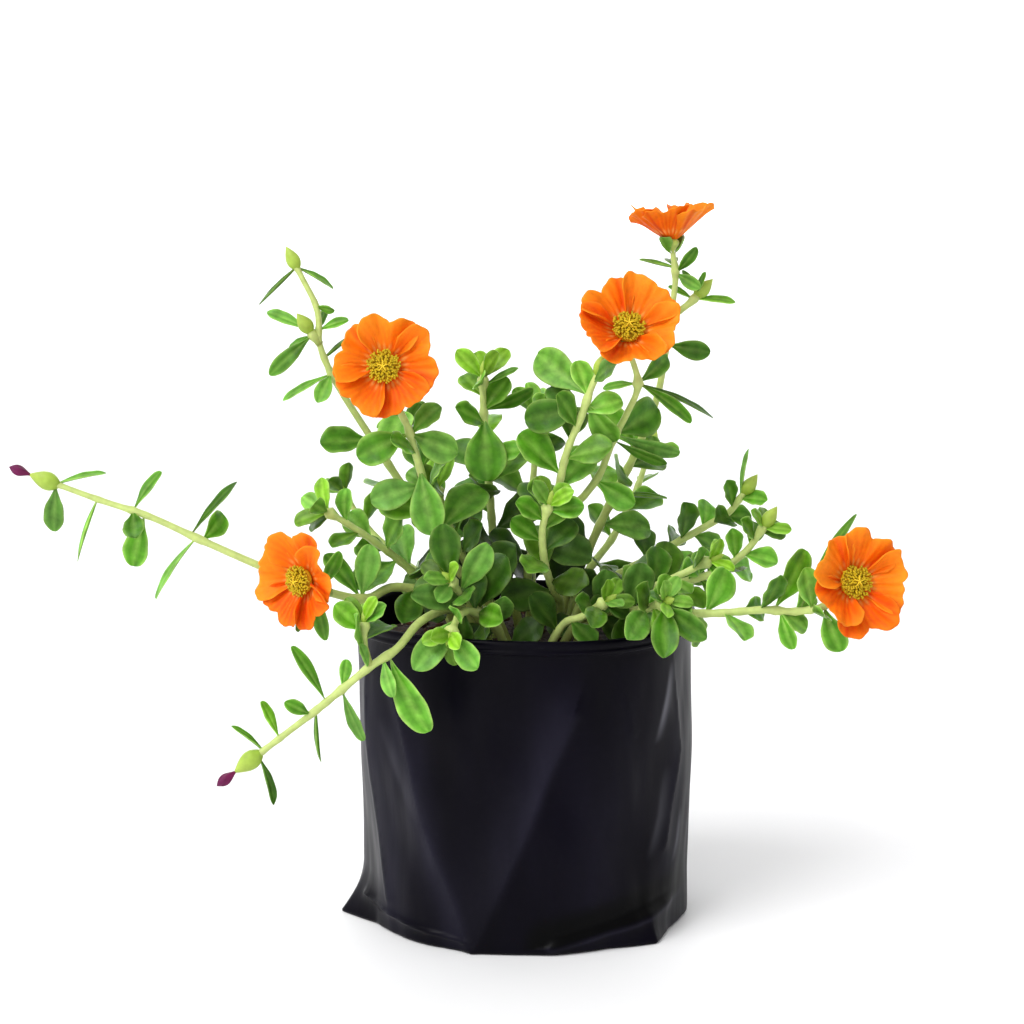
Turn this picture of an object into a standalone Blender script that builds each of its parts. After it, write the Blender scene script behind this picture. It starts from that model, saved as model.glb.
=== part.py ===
"""Portulaca in a black film grow bag: leafy stems, orange blooms, bag and soil as solid meshes.

Metres, Z up, the middle of the bag's base on the origin and the viewer's side towards -Y.
"""
import math
import random
from functools import partial

import bmesh
import bpy
from mathutils import Matrix, Vector, noise
from mathutils.bvhtree import BVHTree

# Driving dimensions of the bag and its soil
BAG_RADIUS = 0.0535
BAG_HEIGHT = 0.101
HEM_DEPTH = 0.0045
SOIL_RADIUS = 0.0518
SOIL_LEVEL = 0.0915
SOIL_ROUGHNESS = 0.0011
ROOT_DEPTH = 0.016
EAR_REACH = 0.0088
EAR_HEIGHT = 0.0165
RIM_FLARE = 0.0022

# Driving dimensions of the plant
STEM_BASE_RADIUS = 0.0017
STEM_TIP_RADIUS = 0.0009
BUD_LENGTH = 0.0075
BUD_RADIUS = 0.0022
LEAF_THICKNESS = 0.0013
ROOT_SINK = 0.0006
BACK_FROM = 0.026
SIDE_TURN = 8
CALYX_LENGTH = 0.0055
CALYX_RADIUS = 0.0024
CALYX_GAP_HEIGHT = 0.0011
PETALS = 5

PETAL_HALF_ANGLE = math.radians(50)
PETAL_NECK = 0.86
PETAL_SHOULDER = 0.76
PETAL_LAP = 0.105
PETAL_WAVE = 0.055
PETAL_RIPPLE = 0.035

# How the leaves stand: angles from the stem, and the room that they keep
LOW_PITCH = math.radians(72)
PITCH_FALL = math.radians(26)
ROSETTE_PITCH = math.radians(38)
BUD_PITCH = math.radians(55)
CROWN_SIZE = 0.68
CLEARANCE = 0.0005
RIM_CLEARANCE = 0.001
GUARD_SEGMENTS = 40

GOLDEN_ANGLE = math.radians(137.5)
TOWARDS_VIEWER = Vector((0, -1, 0))
UP = Vector((0, 0, 1))
FLOWER_SEED = 11
LEAF_SEED = 23

# Each stem: its foot in the soil (x, y) or the stem that it branches from, the points that it climbs
# through, how many leaves the rule gives it and how long they are, what it ends in, and the leaves
# that have a place of their own as (root, tip, width, turn of the face away from the viewer).
STEMS = [
    dict(name="far_left", foot=(-0.014, -0.007), end="spent", leaves=0, leaf=0.014,
         route=[(-0.022, -0.011, 0.104), (-0.041, -0.020, 0.112), (-0.051, -0.027, 0.1095),
                (-0.062, -0.030, 0.112), (-0.075, -0.031, 0.117), (-0.087, -0.031, 0.122),
                (-0.103, -0.030, 0.129), (-0.119, -0.028, 0.136), (-0.135, -0.026, 0.141),
                (-0.149, -0.025, 0.146)],
         own=[((-0.149, -0.025, 0.147), (-0.134, -0.022, 0.152), 0.0030, 60),
              ((-0.150, -0.025, 0.146), (-0.150, -0.027, 0.131), 0.0069, 10),
              ((-0.137, -0.026, 0.141), (-0.145, -0.030, 0.123), 0.0024, 75),
              ((-0.125, -0.027, 0.137), (-0.117, -0.024, 0.151), 0.0045, 40),
              ((-0.125, -0.027, 0.137), (-0.123, -0.036, 0.131), 0.0072, 0),
              ((-0.121, -0.028, 0.136), (-0.126, -0.026, 0.119), 0.0085, 10),
              ((-0.107, -0.029, 0.130), (-0.093, -0.032, 0.149), 0.0045, 55),
              ((-0.102, -0.030, 0.128), (-0.095, -0.022, 0.136), 0.0078, 20),
              ((-0.105, -0.030, 0.129), (-0.121, -0.033, 0.113), 0.0040, 60),
              ((-0.052, -0.027, 0.110), (-0.049, -0.031, 0.127), 0.0085, 15),
              ((-0.053, -0.028, 0.110), (-0.064, -0.020, 0.124), 0.0070, 30),
              ((-0.036, -0.018, 0.110), (-0.0375, -0.038, 0.1070), 0.0094, 5),
              ((-0.027, -0.013, 0.107), (-0.0290, -0.033, 0.1060), 0.0086, 5)]),
    dict(name="left_flower", on="far_left", end="flower", leaves=0, leaf=0.012,
         route=[(-0.062, -0.030, 0.112), (-0.066, -0.036, 0.1145)],
         own=[((-0.066, -0.036, 0.114), (-0.064, -0.039, 0.098), 0.0052, 20),
              ((-0.065, -0.036, 0.114), (-0.070, -0.041, 0.100), 0.0046, 40),
              ((-0.065, -0.035, 0.114), (-0.058, -0.040, 0.126), 0.0050, 25)]),
    dict(name="lower_left", foot=(-0.010, -0.018), end="spent", leaves=0, leaf=0.014,
         route=[(-0.016, -0.027, 0.104), (-0.024, -0.036, 0.108), (-0.033, -0.047, 0.106),
                (-0.040, -0.057, 0.0995), (-0.048, -0.062, 0.095), (-0.057, -0.064, 0.088),
                (-0.066, -0.066, 0.081), (-0.074, -0.067, 0.075), (-0.082, -0.068, 0.069)],
         own=[((-0.061, -0.065, 0.085), (-0.070, -0.068, 0.103), 0.0046, 40),
              ((-0.056, -0.064, 0.089), (-0.055, -0.058, 0.097), 0.0040, 10),
              ((-0.057, -0.064, 0.088), (-0.051, -0.066, 0.072), 0.0050, 30),
              ((-0.048, -0.062, 0.095), (-0.052, -0.065, 0.103), 0.0036, 50),
              ((-0.064, -0.065, 0.083), (-0.066, -0.063, 0.065), 0.0027, 75),
              ((-0.067, -0.066, 0.081), (-0.072, -0.073, 0.086), 0.0044, 20),
              ((-0.075, -0.067, 0.074), (-0.080, -0.069, 0.086), 0.0038, 45),
              ((-0.081, -0.068, 0.070), (-0.088, -0.071, 0.080), 0.0026, 70),
              ((-0.081, -0.068, 0.069), (-0.075, -0.065, 0.052), 0.0036, 50),
              ((-0.041, -0.060, 0.099), (-0.032, -0.066, 0.074), 0.0098, 15),
              ((-0.044, -0.060, 0.097), (-0.042, -0.067, 0.087), 0.0050, 20)]),
    dict(name="lower_left_side", on="lower_left", end="rosette", leaves=4, leaf=0.0150,
         route=[(-0.048, -0.062, 0.095), (-0.050, -0.060, 0.101), (-0.050, -0.058, 0.108)]),
    dict(name="left_mid", foot=(-0.020, 0.001), end="rosette", leaves=10, leaf=0.0180,
         route=[(-0.027, -0.003, 0.105), (-0.036, -0.008, 0.114), (-0.045, -0.015, 0.123),
                (-0.055, -0.020, 0.131), (-0.064, -0.022, 0.137)]),
    dict(name="upper_left", foot=(-0.012, 0.012), end="bud", leaves=5, leaf=0.0190, leafed=0.58,
         route=[(-0.018, 0.014, 0.104), (-0.029, 0.016, 0.121), (-0.042, 0.016, 0.141),
                (-0.053, 0.012, 0.159), (-0.060, 0.008, 0.171), (-0.064, 0.005, 0.179),
                (-0.067, 0.002, 0.188), (-0.067, 0.000, 0.195), (-0.068, 0.000, 0.201),
                (-0.072, 0.000, 0.209), (-0.074, 0.000, 0.213)],
         own=[((-0.075, 0.000, 0.212), (-0.087, -0.002, 0.202), 0.0025, 75),
              ((-0.074, 0.000, 0.212), (-0.061, 0.002, 0.208), 0.0031, 60),
              ((-0.068, 0.000, 0.201), (-0.062, -0.004, 0.199), 0.0031, 30),
              ((-0.068, 0.000, 0.193), (-0.058, -0.003, 0.197), 0.0038, 40),
              ((-0.065, 0.003, 0.184), (-0.057, 0.007, 0.192), 0.0025, 75),
              ((-0.063, 0.005, 0.177), (-0.080, 0.002, 0.171), 0.0038, 55),
              ((-0.063, 0.005, 0.177), (-0.067, -0.004, 0.171), 0.0056, 10)]),
    dict(name="upper_left_bud", on="upper_left", end="bud", leaves=0, leaf=0.010,
         route=[(-0.067, 0.002, 0.188), (-0.070, 0.000, 0.1925)],
         own=[((-0.070, 0.000, 0.192), (-0.082, -0.003, 0.202), 0.0045, 35),
              ((-0.069, 0.001, 0.192), (-0.064, 0.007, 0.200), 0.0035, 40),
              ((-0.070, 0.000, 0.191), (-0.083, -0.005, 0.179), 0.0054, 10),
              ((-0.069, 0.001, 0.190), (-0.079, 0.005, 0.187), 0.0031, 45)]),
    dict(name="left_top_flower", foot=(-0.004, -0.012), end="flower", leaves=12, leaf=0.0190,
         route=[(-0.012, -0.016, 0.106), (-0.024, -0.018, 0.120), (-0.030, -0.024, 0.138),
                (-0.034, -0.028, 0.153), (-0.037, -0.030, 0.164), (-0.040, -0.031, 0.171)],
         own=[((-0.037, -0.030, 0.163), (-0.053, -0.034, 0.156), 0.0105, 15),
              ((-0.037, -0.030, 0.163), (-0.022, -0.035, 0.157), 0.0105, 10),
              ((-0.032, -0.026, 0.147), (-0.049, -0.031, 0.142), 0.0100, 15),
              ((-0.033, -0.027, 0.151), (-0.030, -0.037, 0.132), 0.0112, 10)]),
    dict(name="centre", foot=(-0.001, 0.005), end="rosette", leaves=14, leaf=0.0200,
         route=[(-0.005, 0.006, 0.106), (-0.010, 0.006, 0.119), (-0.012, 0.006, 0.140),
                (-0.013, 0.005, 0.156), (-0.014, 0.004, 0.169), (-0.014, 0.003, 0.178)],
         own=[((-0.013, 0.004, 0.164), (-0.013, -0.006, 0.145), 0.0140, 5),
              ((-0.014, 0.004, 0.166), (0.003, 0.002, 0.171), 0.0060, 35),
              ((-0.014, 0.003, 0.174), (-0.003, 0.002, 0.181), 0.0030, 50)]),
    dict(name="right_of_centre", foot=(0.004, -0.006), end="bud", leaves=12, leaf=0.0190, first=0.38,
         route=[(0.001, -0.010, 0.106), (0.001, -0.012, 0.119), (0.006, -0.016, 0.131),
                (0.010, -0.018, 0.143), (0.013, -0.020, 0.156), (0.017, -0.021, 0.166),
                (0.020, -0.022, 0.175), (0.0225, -0.022, 0.181)],
         own=[((0.018, -0.021, 0.175), (0.002, -0.009, 0.187), 0.0115, 5),
              ((0.016, -0.020, 0.170), (-0.001, -0.022, 0.166), 0.0110, 10),
              ((0.016, -0.020, 0.167), (0.007, -0.012, 0.177), 0.0078, 20),
              ((0.019, -0.021, 0.171), (0.028, -0.020, 0.158), 0.0092, 25)]),
    dict(name="mid_flower", on="right_of_centre", end="flower", leaves=0, leaf=0.015,
         route=[(0.0085, -0.0172, 0.138), (0.016, -0.014, 0.1385), (0.020, -0.012, 0.142),
                (0.024, -0.012, 0.148), (0.028, -0.013, 0.159), (0.032, -0.014, 0.167),
                (0.0355, -0.015, 0.177)],
         own=[((0.035, -0.015, 0.176), (0.054, -0.019, 0.167), 0.0052, 40),
              ((0.035, -0.015, 0.176), (0.063, -0.009, 0.169), 0.0031, 60),
              ((0.035, -0.015, 0.177), (0.024, -0.012, 0.176), 0.0038, 50),
              ((0.036, -0.015, 0.177), (0.047, -0.004, 0.185), 0.0065, 10),
              ((0.030, -0.013, 0.160), (0.044, -0.004, 0.168), 0.0128, 10),
              ((0.030, -0.013, 0.159), (0.049, -0.003, 0.155), 0.0059, 25),
              ((0.029, -0.013, 0.158), (0.045, -0.012, 0.149), 0.0048, 35),
              ((0.022, -0.012, 0.146), (0.034, -0.018, 0.138), 0.0090, 15)]),
    dict(name="top_flower", foot=(0.010, 0.010), end="flower", leaves=6, leaf=0.0180, leafed=0.55,
         route=[(0.014, 0.013, 0.105), (0.020, 0.016, 0.116), (0.026, 0.017, 0.129),
                (0.030, 0.017, 0.137), (0.037, 0.016, 0.152), (0.043, 0.014, 0.168),
                (0.046, 0.012, 0.185), (0.048, 0.010, 0.201), (0.0487, 0.0085, 0.210)],
         own=[((0.049, 0.008, 0.212), (0.037, 0.006, 0.216), 0.0025, 70),
              ((0.049, 0.008, 0.211), (0.055, 0.001, 0.218), 0.0041, 20),
              ((0.049, 0.008, 0.211), (0.056, 0.004, 0.206), 0.0046, 10),
              ((0.049, 0.009, 0.212), (0.047, 0.018, 0.217), 0.0045, 10),
              ((0.046, 0.012, 0.188), (0.060, 0.008, 0.184), 0.0068, 10),
              ((0.030, 0.017, 0.136), (0.047, 0.014, 0.137), 0.0028, 70)]),
    dict(name="top_bud", on="top_flower", end="bud", leaves=0, leaf=0.008,
         route=[(0.0475, 0.0105, 0.196), (0.053, 0.012, 0.200), (0.056, 0.012, 0.203)],
         own=[((0.056, 0.012, 0.203), (0.052, 0.015, 0.212), 0.0028, 30),
              ((0.056, 0.012, 0.203), (0.060, 0.007, 0.211), 0.0028, 50),
              ((0.055, 0.012, 0.202), (0.047, 0.015, 0.207), 0.0028, 40),
              ((0.055, 0.012, 0.202), (0.069, 0.012, 0.203), 0.0038, 50)]),
    dict(name="right_upper", foot=(0.013, 0.001), end="bud", leaves=15, leaf=0.0150, slim=0.70,
         route=[(0.019, 0.008, 0.103), (0.028, 0.014, 0.108), (0.042, 0.018, 0.115),
                (0.055, 0.020, 0.122), (0.062, 0.020, 0.126), (0.068, 0.019, 0.130),
                (0.073, 0.018, 0.137)],
         own=[((0.072, 0.018, 0.135), (0.076, 0.015, 0.152), 0.0028, 65)]),
    dict(name="right_lower", foot=(0.015, -0.008), end="bud", leaves=18, leaf=0.0150, slim=0.72,
         route=[(0.022, -0.006, 0.102), (0.031, -0.004, 0.106), (0.047, -0.002, 0.109),
                (0.062, 0.000, 0.113), (0.072, 0.000, 0.120), (0.078, -0.001, 0.129)]),
    dict(name="right_flower", foot=(0.009, -0.018), end="flower", leaves=14, leaf=0.0145, slim=0.70,
         route=[(0.017, -0.021, 0.101), (0.027, -0.025, 0.105), (0.042, -0.032, 0.1065),
                (0.058, -0.036, 0.1065), (0.074, -0.038, 0.108), (0.085, -0.038, 0.1075),
                (0.094, -0.040, 0.110)],
         own=[((0.080, -0.037, 0.108), (0.083, -0.042, 0.096), 0.0056, 20),
              ((0.093, -0.039, 0.109), (0.098, -0.043, 0.095), 0.0082, 15),
              ((0.086, -0.038, 0.109), (0.101, -0.030, 0.140), 0.0040, 50),
              ((0.077, -0.038, 0.108), (0.089, -0.032, 0.126), 0.0095, 20),
              ((0.090, -0.039, 0.109), (0.087, -0.048, 0.122), 0.0078, 15)]),
    dict(name="front_right", on="right_flower", end="rosette", leaves=7, leaf=0.0145, slim=0.66,
         route=[(0.027, -0.025, 0.105), (0.036, -0.035, 0.1075), (0.043, -0.043, 0.1115)],
         own=[((0.043, -0.043, 0.111), (0.0424, -0.059, 0.0990), 0.0088, 5),
              ((0.042, -0.042, 0.111), (0.0545, -0.053, 0.1020), 0.0082, 10),
              ((0.037, -0.036, 0.108), (0.0300, -0.058, 0.1010), 0.0086, 10)]),
    dict(name="front_mid", foot=(0.004, -0.027), end="rosette", leaves=5, leaf=0.0150, slim=0.62, first=0.55,
         route=[(0.011, -0.030, 0.101), (0.018, -0.033, 0.105), (0.025, -0.037, 0.1105)],
         own=[((0.022, -0.035, 0.108), (0.0195, -0.053, 0.1040), 0.0076, 10)]),
    dict(name="front_left", foot=(-0.004, -0.027), end="rosette", leaves=7, leaf=0.0160,
         route=[(-0.010, -0.033, 0.102), (-0.017, -0.041, 0.108), (-0.021, -0.050, 0.1085),
                (-0.0235, -0.057, 0.104)],
         own=[((-0.021, -0.050, 0.108), (-0.034, -0.063, 0.095), 0.0092, 15),
              ((-0.010, -0.033, 0.102), (-0.007, -0.050, 0.113), 0.0080, 20),
              ((-0.015, -0.038, 0.106), (-0.0085, -0.057, 0.1010), 0.0086, 10),
              ((-0.0235, -0.057, 0.104), (-0.0160, -0.067, 0.0960), 0.0080, 10)]),
    dict(name="front_left_upper", on="front_left", end="rosette", leaves=5, leaf=0.0175,
         route=[(-0.010, -0.033, 0.102), (-0.018, -0.037, 0.110), (-0.024, -0.042, 0.118)],
         own=[((-0.018, -0.037, 0.110), (-0.038, -0.047, 0.114), 0.0085, 25),
              ((-0.024, -0.042, 0.118), (-0.026, -0.047, 0.136), 0.0100, 5),
              ((-0.021, -0.040, 0.114), (-0.012, -0.047, 0.129), 0.0088, 10)]),
    dict(name="centre_front", foot=(0.011, -0.002), end="rosette", leaves=10, leaf=0.0170, first=0.47,
         route=[(0.011, -0.009, 0.104), (0.009, -0.018, 0.110), (0.006, -0.026, 0.120),
                (0.005, -0.031, 0.132), (0.007, -0.033, 0.141)]),
    dict(name="centre_left", foot=(-0.009, -0.001), end="rosette", leaves=11, leaf=0.0190,
         route=[(-0.012, -0.003, 0.104), (-0.018, -0.006, 0.114), (-0.024, -0.009, 0.128),
                (-0.029, -0.010, 0.143)]),
    dict(name="right_middle", foot=(0.016, -0.015), end="rosette", leaves=10, leaf=0.0145, slim=0.70,
         route=[(0.021, -0.017, 0.101), (0.033, -0.020, 0.1085), (0.047, -0.021, 0.115),
                (0.059, -0.022, 0.121)]),
    dict(name="back_left", foot=(-0.010, 0.022), end="rosette", leaves=5, leaf=0.0180,
         route=[(-0.018, 0.027, 0.106), (-0.028, 0.034, 0.120), (-0.036, 0.040, 0.138),
                (-0.040, 0.044, 0.156)]),
    dict(name="back_right", foot=(0.011, 0.020), end="bud", leaves=6, leaf=0.0175,
         route=[(0.020, 0.030, 0.106), (0.030, 0.040, 0.118), (0.038, 0.046, 0.133),
                (0.043, 0.050, 0.147)]),
    dict(name="back_centre", foot=(0.001, 0.015), end="rosette", leaves=5, leaf=0.0200,
         route=[(0.002, 0.022, 0.108), (0.001, 0.028, 0.124), (0.003, 0.031, 0.144),
                (0.004, 0.032, 0.162)]),
    dict(name="back_trailing", foot=(0.001, 0.027), end="bud", leaves=6, leaf=0.0160,
         route=[(0.002, 0.037, 0.103), (-0.001, 0.050, 0.109), (-0.006, 0.064, 0.109),
                (-0.013, 0.078, 0.102), (-0.020, 0.090, 0.094)]),
    dict(name="left_back", foot=(-0.022, 0.013), end="rosette", leaves=5, leaf=0.0170,
         route=[(-0.031, 0.021, 0.104), (-0.043, 0.028, 0.113), (-0.055, 0.033, 0.124),
                (-0.062, 0.035, 0.135)]),
]

# Each flower: its middle, the way that it faces, its radius, how deep it cups and its turn
FLOWERS = {
    "left_flower": dict(at=(-0.0718, -0.046, 0.1185), facing=(-0.60, -0.78, -0.02), radius=0.0152,
                        cup=0.46, turn=20),
    "left_top_flower": dict(at=(-0.0443, -0.040, 0.1850), facing=(-0.06, -0.97, 0.16), radius=0.0166,
                            cup=0.38, turn=12),
    "mid_flower": dict(at=(0.0322, -0.026, 0.1975), facing=(0.06, -0.80, 0.60), radius=0.0164,
                       cup=0.60, turn=54),
    "top_flower": dict(at=(0.0467, 0.007, 0.2286), facing=(-0.08, 0.06, 1.00), radius=0.0136,
                       cup=0.84, turn=40),
    "right_flower": dict(at=(0.1030, -0.046, 0.1185), facing=(0.30, -0.90, 0.26), radius=0.0166,
                         cup=0.50, turn=0),
}


def curve_through(points, spacing):
    """A smooth line through the points, cut into steps of about the spacing."""
    knots = [2 * points[0] - points[1], *points, 2 * points[-1] - points[-2]]
    fine = []
    for a, b, c, d in zip(knots, knots[1:], knots[2:], knots[3:]):
        for step in range(8):
            t = step / 8
            fine.append(0.5 * (2 * b + (c - a) * t + (2 * a - 5 * b + 4 * c - d) * t * t
                               + (3 * b - a - 3 * c + d) * t * t * t))
    fine.append(points[-1])
    run = [0.0]
    for a, b in zip(fine, fine[1:]):
        run.append(run[-1] + (b - a).length)
    steps = max(2, round(run[-1] / spacing))
    line, place = [], 0
    for step in range(steps + 1):
        target = run[-1] * step / steps
        while place < len(fine) - 2 and run[place + 1] < target:
            place += 1
        share = (target - run[place]) / max(run[place + 1] - run[place], 1e-9)
        line.append(fine[place].lerp(fine[place + 1], min(1.0, share)))
    return line


def route_of(stem):
    """The stem's points, from its root in the soil or its fork to its end."""
    points = [Vector(p) for p in stem["route"]]
    if "foot" in stem:
        x, y = stem["foot"]
        points = [Vector((x, y, SOIL_LEVEL - ROOT_DEPTH)), Vector((x, y, SOIL_LEVEL - 0.006)), *points]
    if stem["end"] == "flower":
        flower = FLOWERS[stem["name"]]
        points.append(calyx_foot(flower))
    return points


def calyx_foot(flower):
    """Where the stem ends in the calyx under the flower."""
    return flower_base(flower) - Vector(flower["facing"]).normalized() * CALYX_LENGTH * 0.8


def flower_base(flower):
    """The middle of the bowl's underside, on the calyx."""
    depth = flower["radius"] * flower["cup"] * 0.55 + 0.002
    return Vector(flower["at"]) - Vector(flower["facing"]).normalized() * depth


def tangent(line, t):
    """Place and direction at a share t of an even line."""
    spot = t * (len(line) - 1)
    i = min(int(spot), len(line) - 2)
    return line[i].lerp(line[i + 1], spot - i), (line[i + 1] - line[i]).normalized()


def across(direction, towards):
    """The part of one direction that stands square to another, as a unit."""
    flat = towards - direction * towards.dot(direction)
    if flat.length < 1e-4:
        flat = direction.orthogonal()
    return flat.normalized()


def stem_radius(stem, t):
    """A stem tapers from its foot to its tip, and a branch starts thinner."""
    base = STEM_BASE_RADIUS if "foot" in stem else 0.0013
    return base + (STEM_TIP_RADIUS - base) * t


def leaf_width(u):
    """Half width of a leaf at a share u of its length, from 0 to 1: a short stalk, then a spoon."""
    spoon = abs(math.sin(math.pi * u ** 1.9)) ** 0.52 * min(1.0, u / 0.42) ** 0.7
    return 0.09 * math.sin(math.pi * u) + 0.93 * spoon


def leaf_point(leaf, u, side, lift, grow=0.0):
    """A point on the leaf: u along it, side across it and lift through it, each side from -1 to 1."""
    turn = leaf["bend"] * u
    length = leaf["length"]
    bend = leaf["bend"] if abs(leaf["bend"]) > 1e-3 else 1e-3
    forward, face = leaf["direction"], leaf["normal"]
    square = forward.cross(face)
    spine = leaf["root"] + forward * (length * math.sin(bend * u) / bend) \
        - face * (length * (1 - math.cos(bend * u)) / bend)
    out = face * math.cos(turn) + forward * math.sin(turn)
    half = leaf["width"] / 2 * leaf_width(u) + grow
    thick = LEAF_THICKNESS / 2 * (0.55 + 0.45 * math.sin(math.pi * u)) + grow
    fold = leaf["fold"] * abs(side) ** 1.5 * half
    return spine + square * (side * half) + out * (lift * thick + fold)


def leaf_cage(leaf, start=0.0, grow=0.0, round_steps=3, long_steps=3):
    """A leaf's closed mesh, from a ball's rings drawn out along it, with a keel below and its face above."""
    ball = bmesh.new()
    widest = math.cos(math.pi / 6) if round_steps == 3 else 1.0
    bmesh.ops.create_uvsphere(ball, u_segments=round_steps, v_segments=long_steps, radius=1)
    for vert in ball.verts:
        reach = math.hypot(vert.co.x, vert.co.y)
        side, lift = (vert.co.y / reach / widest, -vert.co.x / reach) if reach > 1e-4 else (0.0, 0.0)
        u = start + (1 - start) * (1 - vert.co.z) / 2
        vert.co = leaf_point(leaf, u, side, lift, grow)
    bmesh.ops.recalc_face_normals(ball, faces=ball.faces)
    return ball


def tree_of(cage):
    """What the crossing tests need of a mesh: its tree and its box."""
    points = [v.co.copy() for v in cage.verts]
    low = Vector([min(p[i] for p in points) for i in range(3)])
    high = Vector([max(p[i] for p in points) for i in range(3)])
    tree = BVHTree.FromBMesh(cage)
    cage.free()
    return tree, low, high


def crosses(shape, others):
    tree, low, high = shape
    for other, other_low, other_high in others:
        apart = any(low[i] > other_high[i] or high[i] < other_low[i] for i in range(3))
        if not apart and tree.overlap(other):
            return True
    return False


def sinks(shape, floor):
    """Whether a shape dips into the soil, where no surface of it would cross."""
    _, low, high = shape
    near = Vector((max(low.x, min(0.0, high.x)), max(low.y, min(0.0, high.y)), 0))
    return low.z < floor and near.length < BAG_RADIUS - 0.004


def loft_cage(rings, ends=()):
    """Skins rings of as many points each, with a fan to the middle of each end that is given."""
    cage = bmesh.new()
    loops = [[cage.verts.new(point) for point in ring] for ring in rings]
    for lower, upper in zip(loops, loops[1:]):
        for i in range(len(lower)):
            j = (i + 1) % len(lower)
            cage.faces.new((lower[i], lower[j], upper[j], upper[i]))
    for loop, middle in zip((loops[0], loops[-1]), ends):
        peak = cage.verts.new(middle)
        for i in range(len(loop)):
            cage.faces.new((loop[i], loop[(i + 1) % len(loop)], peak))
    return cage


def level_ring(radius_at, height, count):
    """A level ring of points about the bag's axis, whose radius may change with the angle."""
    angles = [math.tau * i / count for i in range(count)]
    return [Vector((radius_at(a) * math.cos(a), radius_at(a) * math.sin(a), height)) for a in angles]


def round_ring(centre, along, radius, count):
    """A ring of points about a stem or a bud, square to its line."""
    u = across(along, UP + TOWARDS_VIEWER * 0.3)
    v = along.cross(u)
    angles = [math.tau * i / count for i in range(count)]
    return [centre + u * (radius * math.cos(a)) + v * (radius * math.sin(a)) for a in angles]


def tube_cage(line, radius_at, sides=6, grow=0.0):
    """A stem's tube, for the crossing tests."""
    shares = [i / (len(line) - 1) for i in range(len(line))]
    return loft_cage([round_ring(point, tangent(line, t)[1], radius_at(t) + grow, sides)
                      for point, t in zip(line, shares)])


def bag_guard(floor):
    """The soil's top, the rim and the wall, as the leaves have to clear them."""
    hem = BAG_RADIUS + RIM_FLARE + 0.0020
    top = BAG_HEIGHT + RIM_CLEARANCE
    profile = [(0.001, floor), (BAG_RADIUS - 0.0065, floor), (BAG_RADIUS - 0.0025, top), (hem, top),
               (hem, 0.001), (hem + 0.0015, 0.0)]
    rings = [level_ring(lambda a, r=radius: r, height, GUARD_SEGMENTS) for radius, height in profile]
    return loft_cage(rings)


def flower_frame(flower):
    """The flower's own axes: two in its plane and its facing."""
    face = Vector(flower["facing"]).normalized()
    right = across(face, Vector((1, 0, 0)))
    return right, face.cross(right), face


def petal_point(flower, petal, side, out):
    """A point of a petal: side across it from -1 to 1, out from its base at 0 to its edge at 1."""
    right, over, face = flower_frame(flower)
    radius = flower["radius"]
    chance = random.Random(FLOWER_SEED + petal + int(flower["turn"]) * 7)
    size = chance.uniform(0.90, 1.06)
    lift = chance.uniform(-0.06, 0.09)
    wave = chance.uniform(0, math.tau)
    lean = chance.uniform(-0.07, 0.07)
    notch = chance.uniform(0.08, 0.14)
    base = 0.08 * radius
    lobes = 1 - notch + notch * abs(math.sin(math.pi * side)) ** 0.7
    shoulder = 1 - 0.30 * (max(0.0, abs(side) - PETAL_SHOULDER) / (1 - PETAL_SHOULDER)) ** 2
    reach = base + (radius * size * lobes * shoulder - base) * out
    spread = PETAL_HALF_ANGLE * (PETAL_NECK + (1 - PETAL_NECK) * out)
    angle = math.radians(flower["turn"]) + math.tau * petal / PETALS + side * spread + lean * out
    height = (flower["cup"] + lift) * radius * (out ** 1.3 - 0.16 * out ** 4)
    height += PETAL_LAP * radius * side * out
    loose = radius * out ** 2 * (1 - side * side)
    height += PETAL_WAVE * loose * math.cos(math.tau * side + 0.6 * math.sin(wave))
    height += PETAL_RIPPLE * loose * math.sin(3 * math.pi * side + wave)
    return flower_base(flower) + right * (reach * math.cos(angle)) + over * (reach * math.sin(angle)) \
        + face * (CALYX_GAP_HEIGHT + height)


def petal_sheet(flower, petal, side_steps, out_steps):
    """One petal as an open sheet, split into triangles."""
    sheet = bmesh.new()
    bmesh.ops.create_grid(sheet, x_segments=side_steps, y_segments=out_steps, size=1)
    for vert in sheet.verts:
        vert.co = petal_point(flower, petal, vert.co.x, (vert.co.y + 1) / 2)
    bmesh.ops.triangulate(sheet, faces=sheet.faces, quad_method="FIXED")
    return sheet


def end_shape(stem):
    """The bud that a stem ends in, as a closed drop along the stem's end."""
    line = stem["line"]
    point, along = tangent(line, 1.0)
    size = 1.25 if stem["end"] == "spent" else 1.0
    if stem["end"] == "rosette":
        size = 0.62
    return dict(root=point - along * BUD_LENGTH * 0.2 * size, along=along,
                length=BUD_LENGTH * 1.2 * size, radius=BUD_RADIUS * size)


def drop_cage(drop, round_steps=4, long_steps=4, grow=0.0):
    """A pointed drop: a bud, or the swollen calyx under a flower."""
    ball = bmesh.new()
    bmesh.ops.create_uvsphere(ball, u_segments=round_steps, v_segments=long_steps, radius=1)
    along = drop["along"]
    u = across(along, UP + TOWARDS_VIEWER * 0.3)
    v = along.cross(u)
    for vert in ball.verts:
        s = (1 - vert.co.z) / 2
        swell = math.sin(math.pi * s ** drop.get("belly", 0.8)) if 0 < s < 1 else 0.0
        reach = math.hypot(vert.co.x, vert.co.y)
        x, y = (vert.co.x / reach, vert.co.y / reach) if reach > 1e-4 else (0.0, 0.0)
        r = (drop["radius"] + grow) * swell
        vert.co = drop["root"] + along * (drop["length"] * s) + u * (x * r) + v * (y * r)
    bmesh.ops.recalc_face_normals(ball, faces=ball.faces)
    return ball


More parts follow.
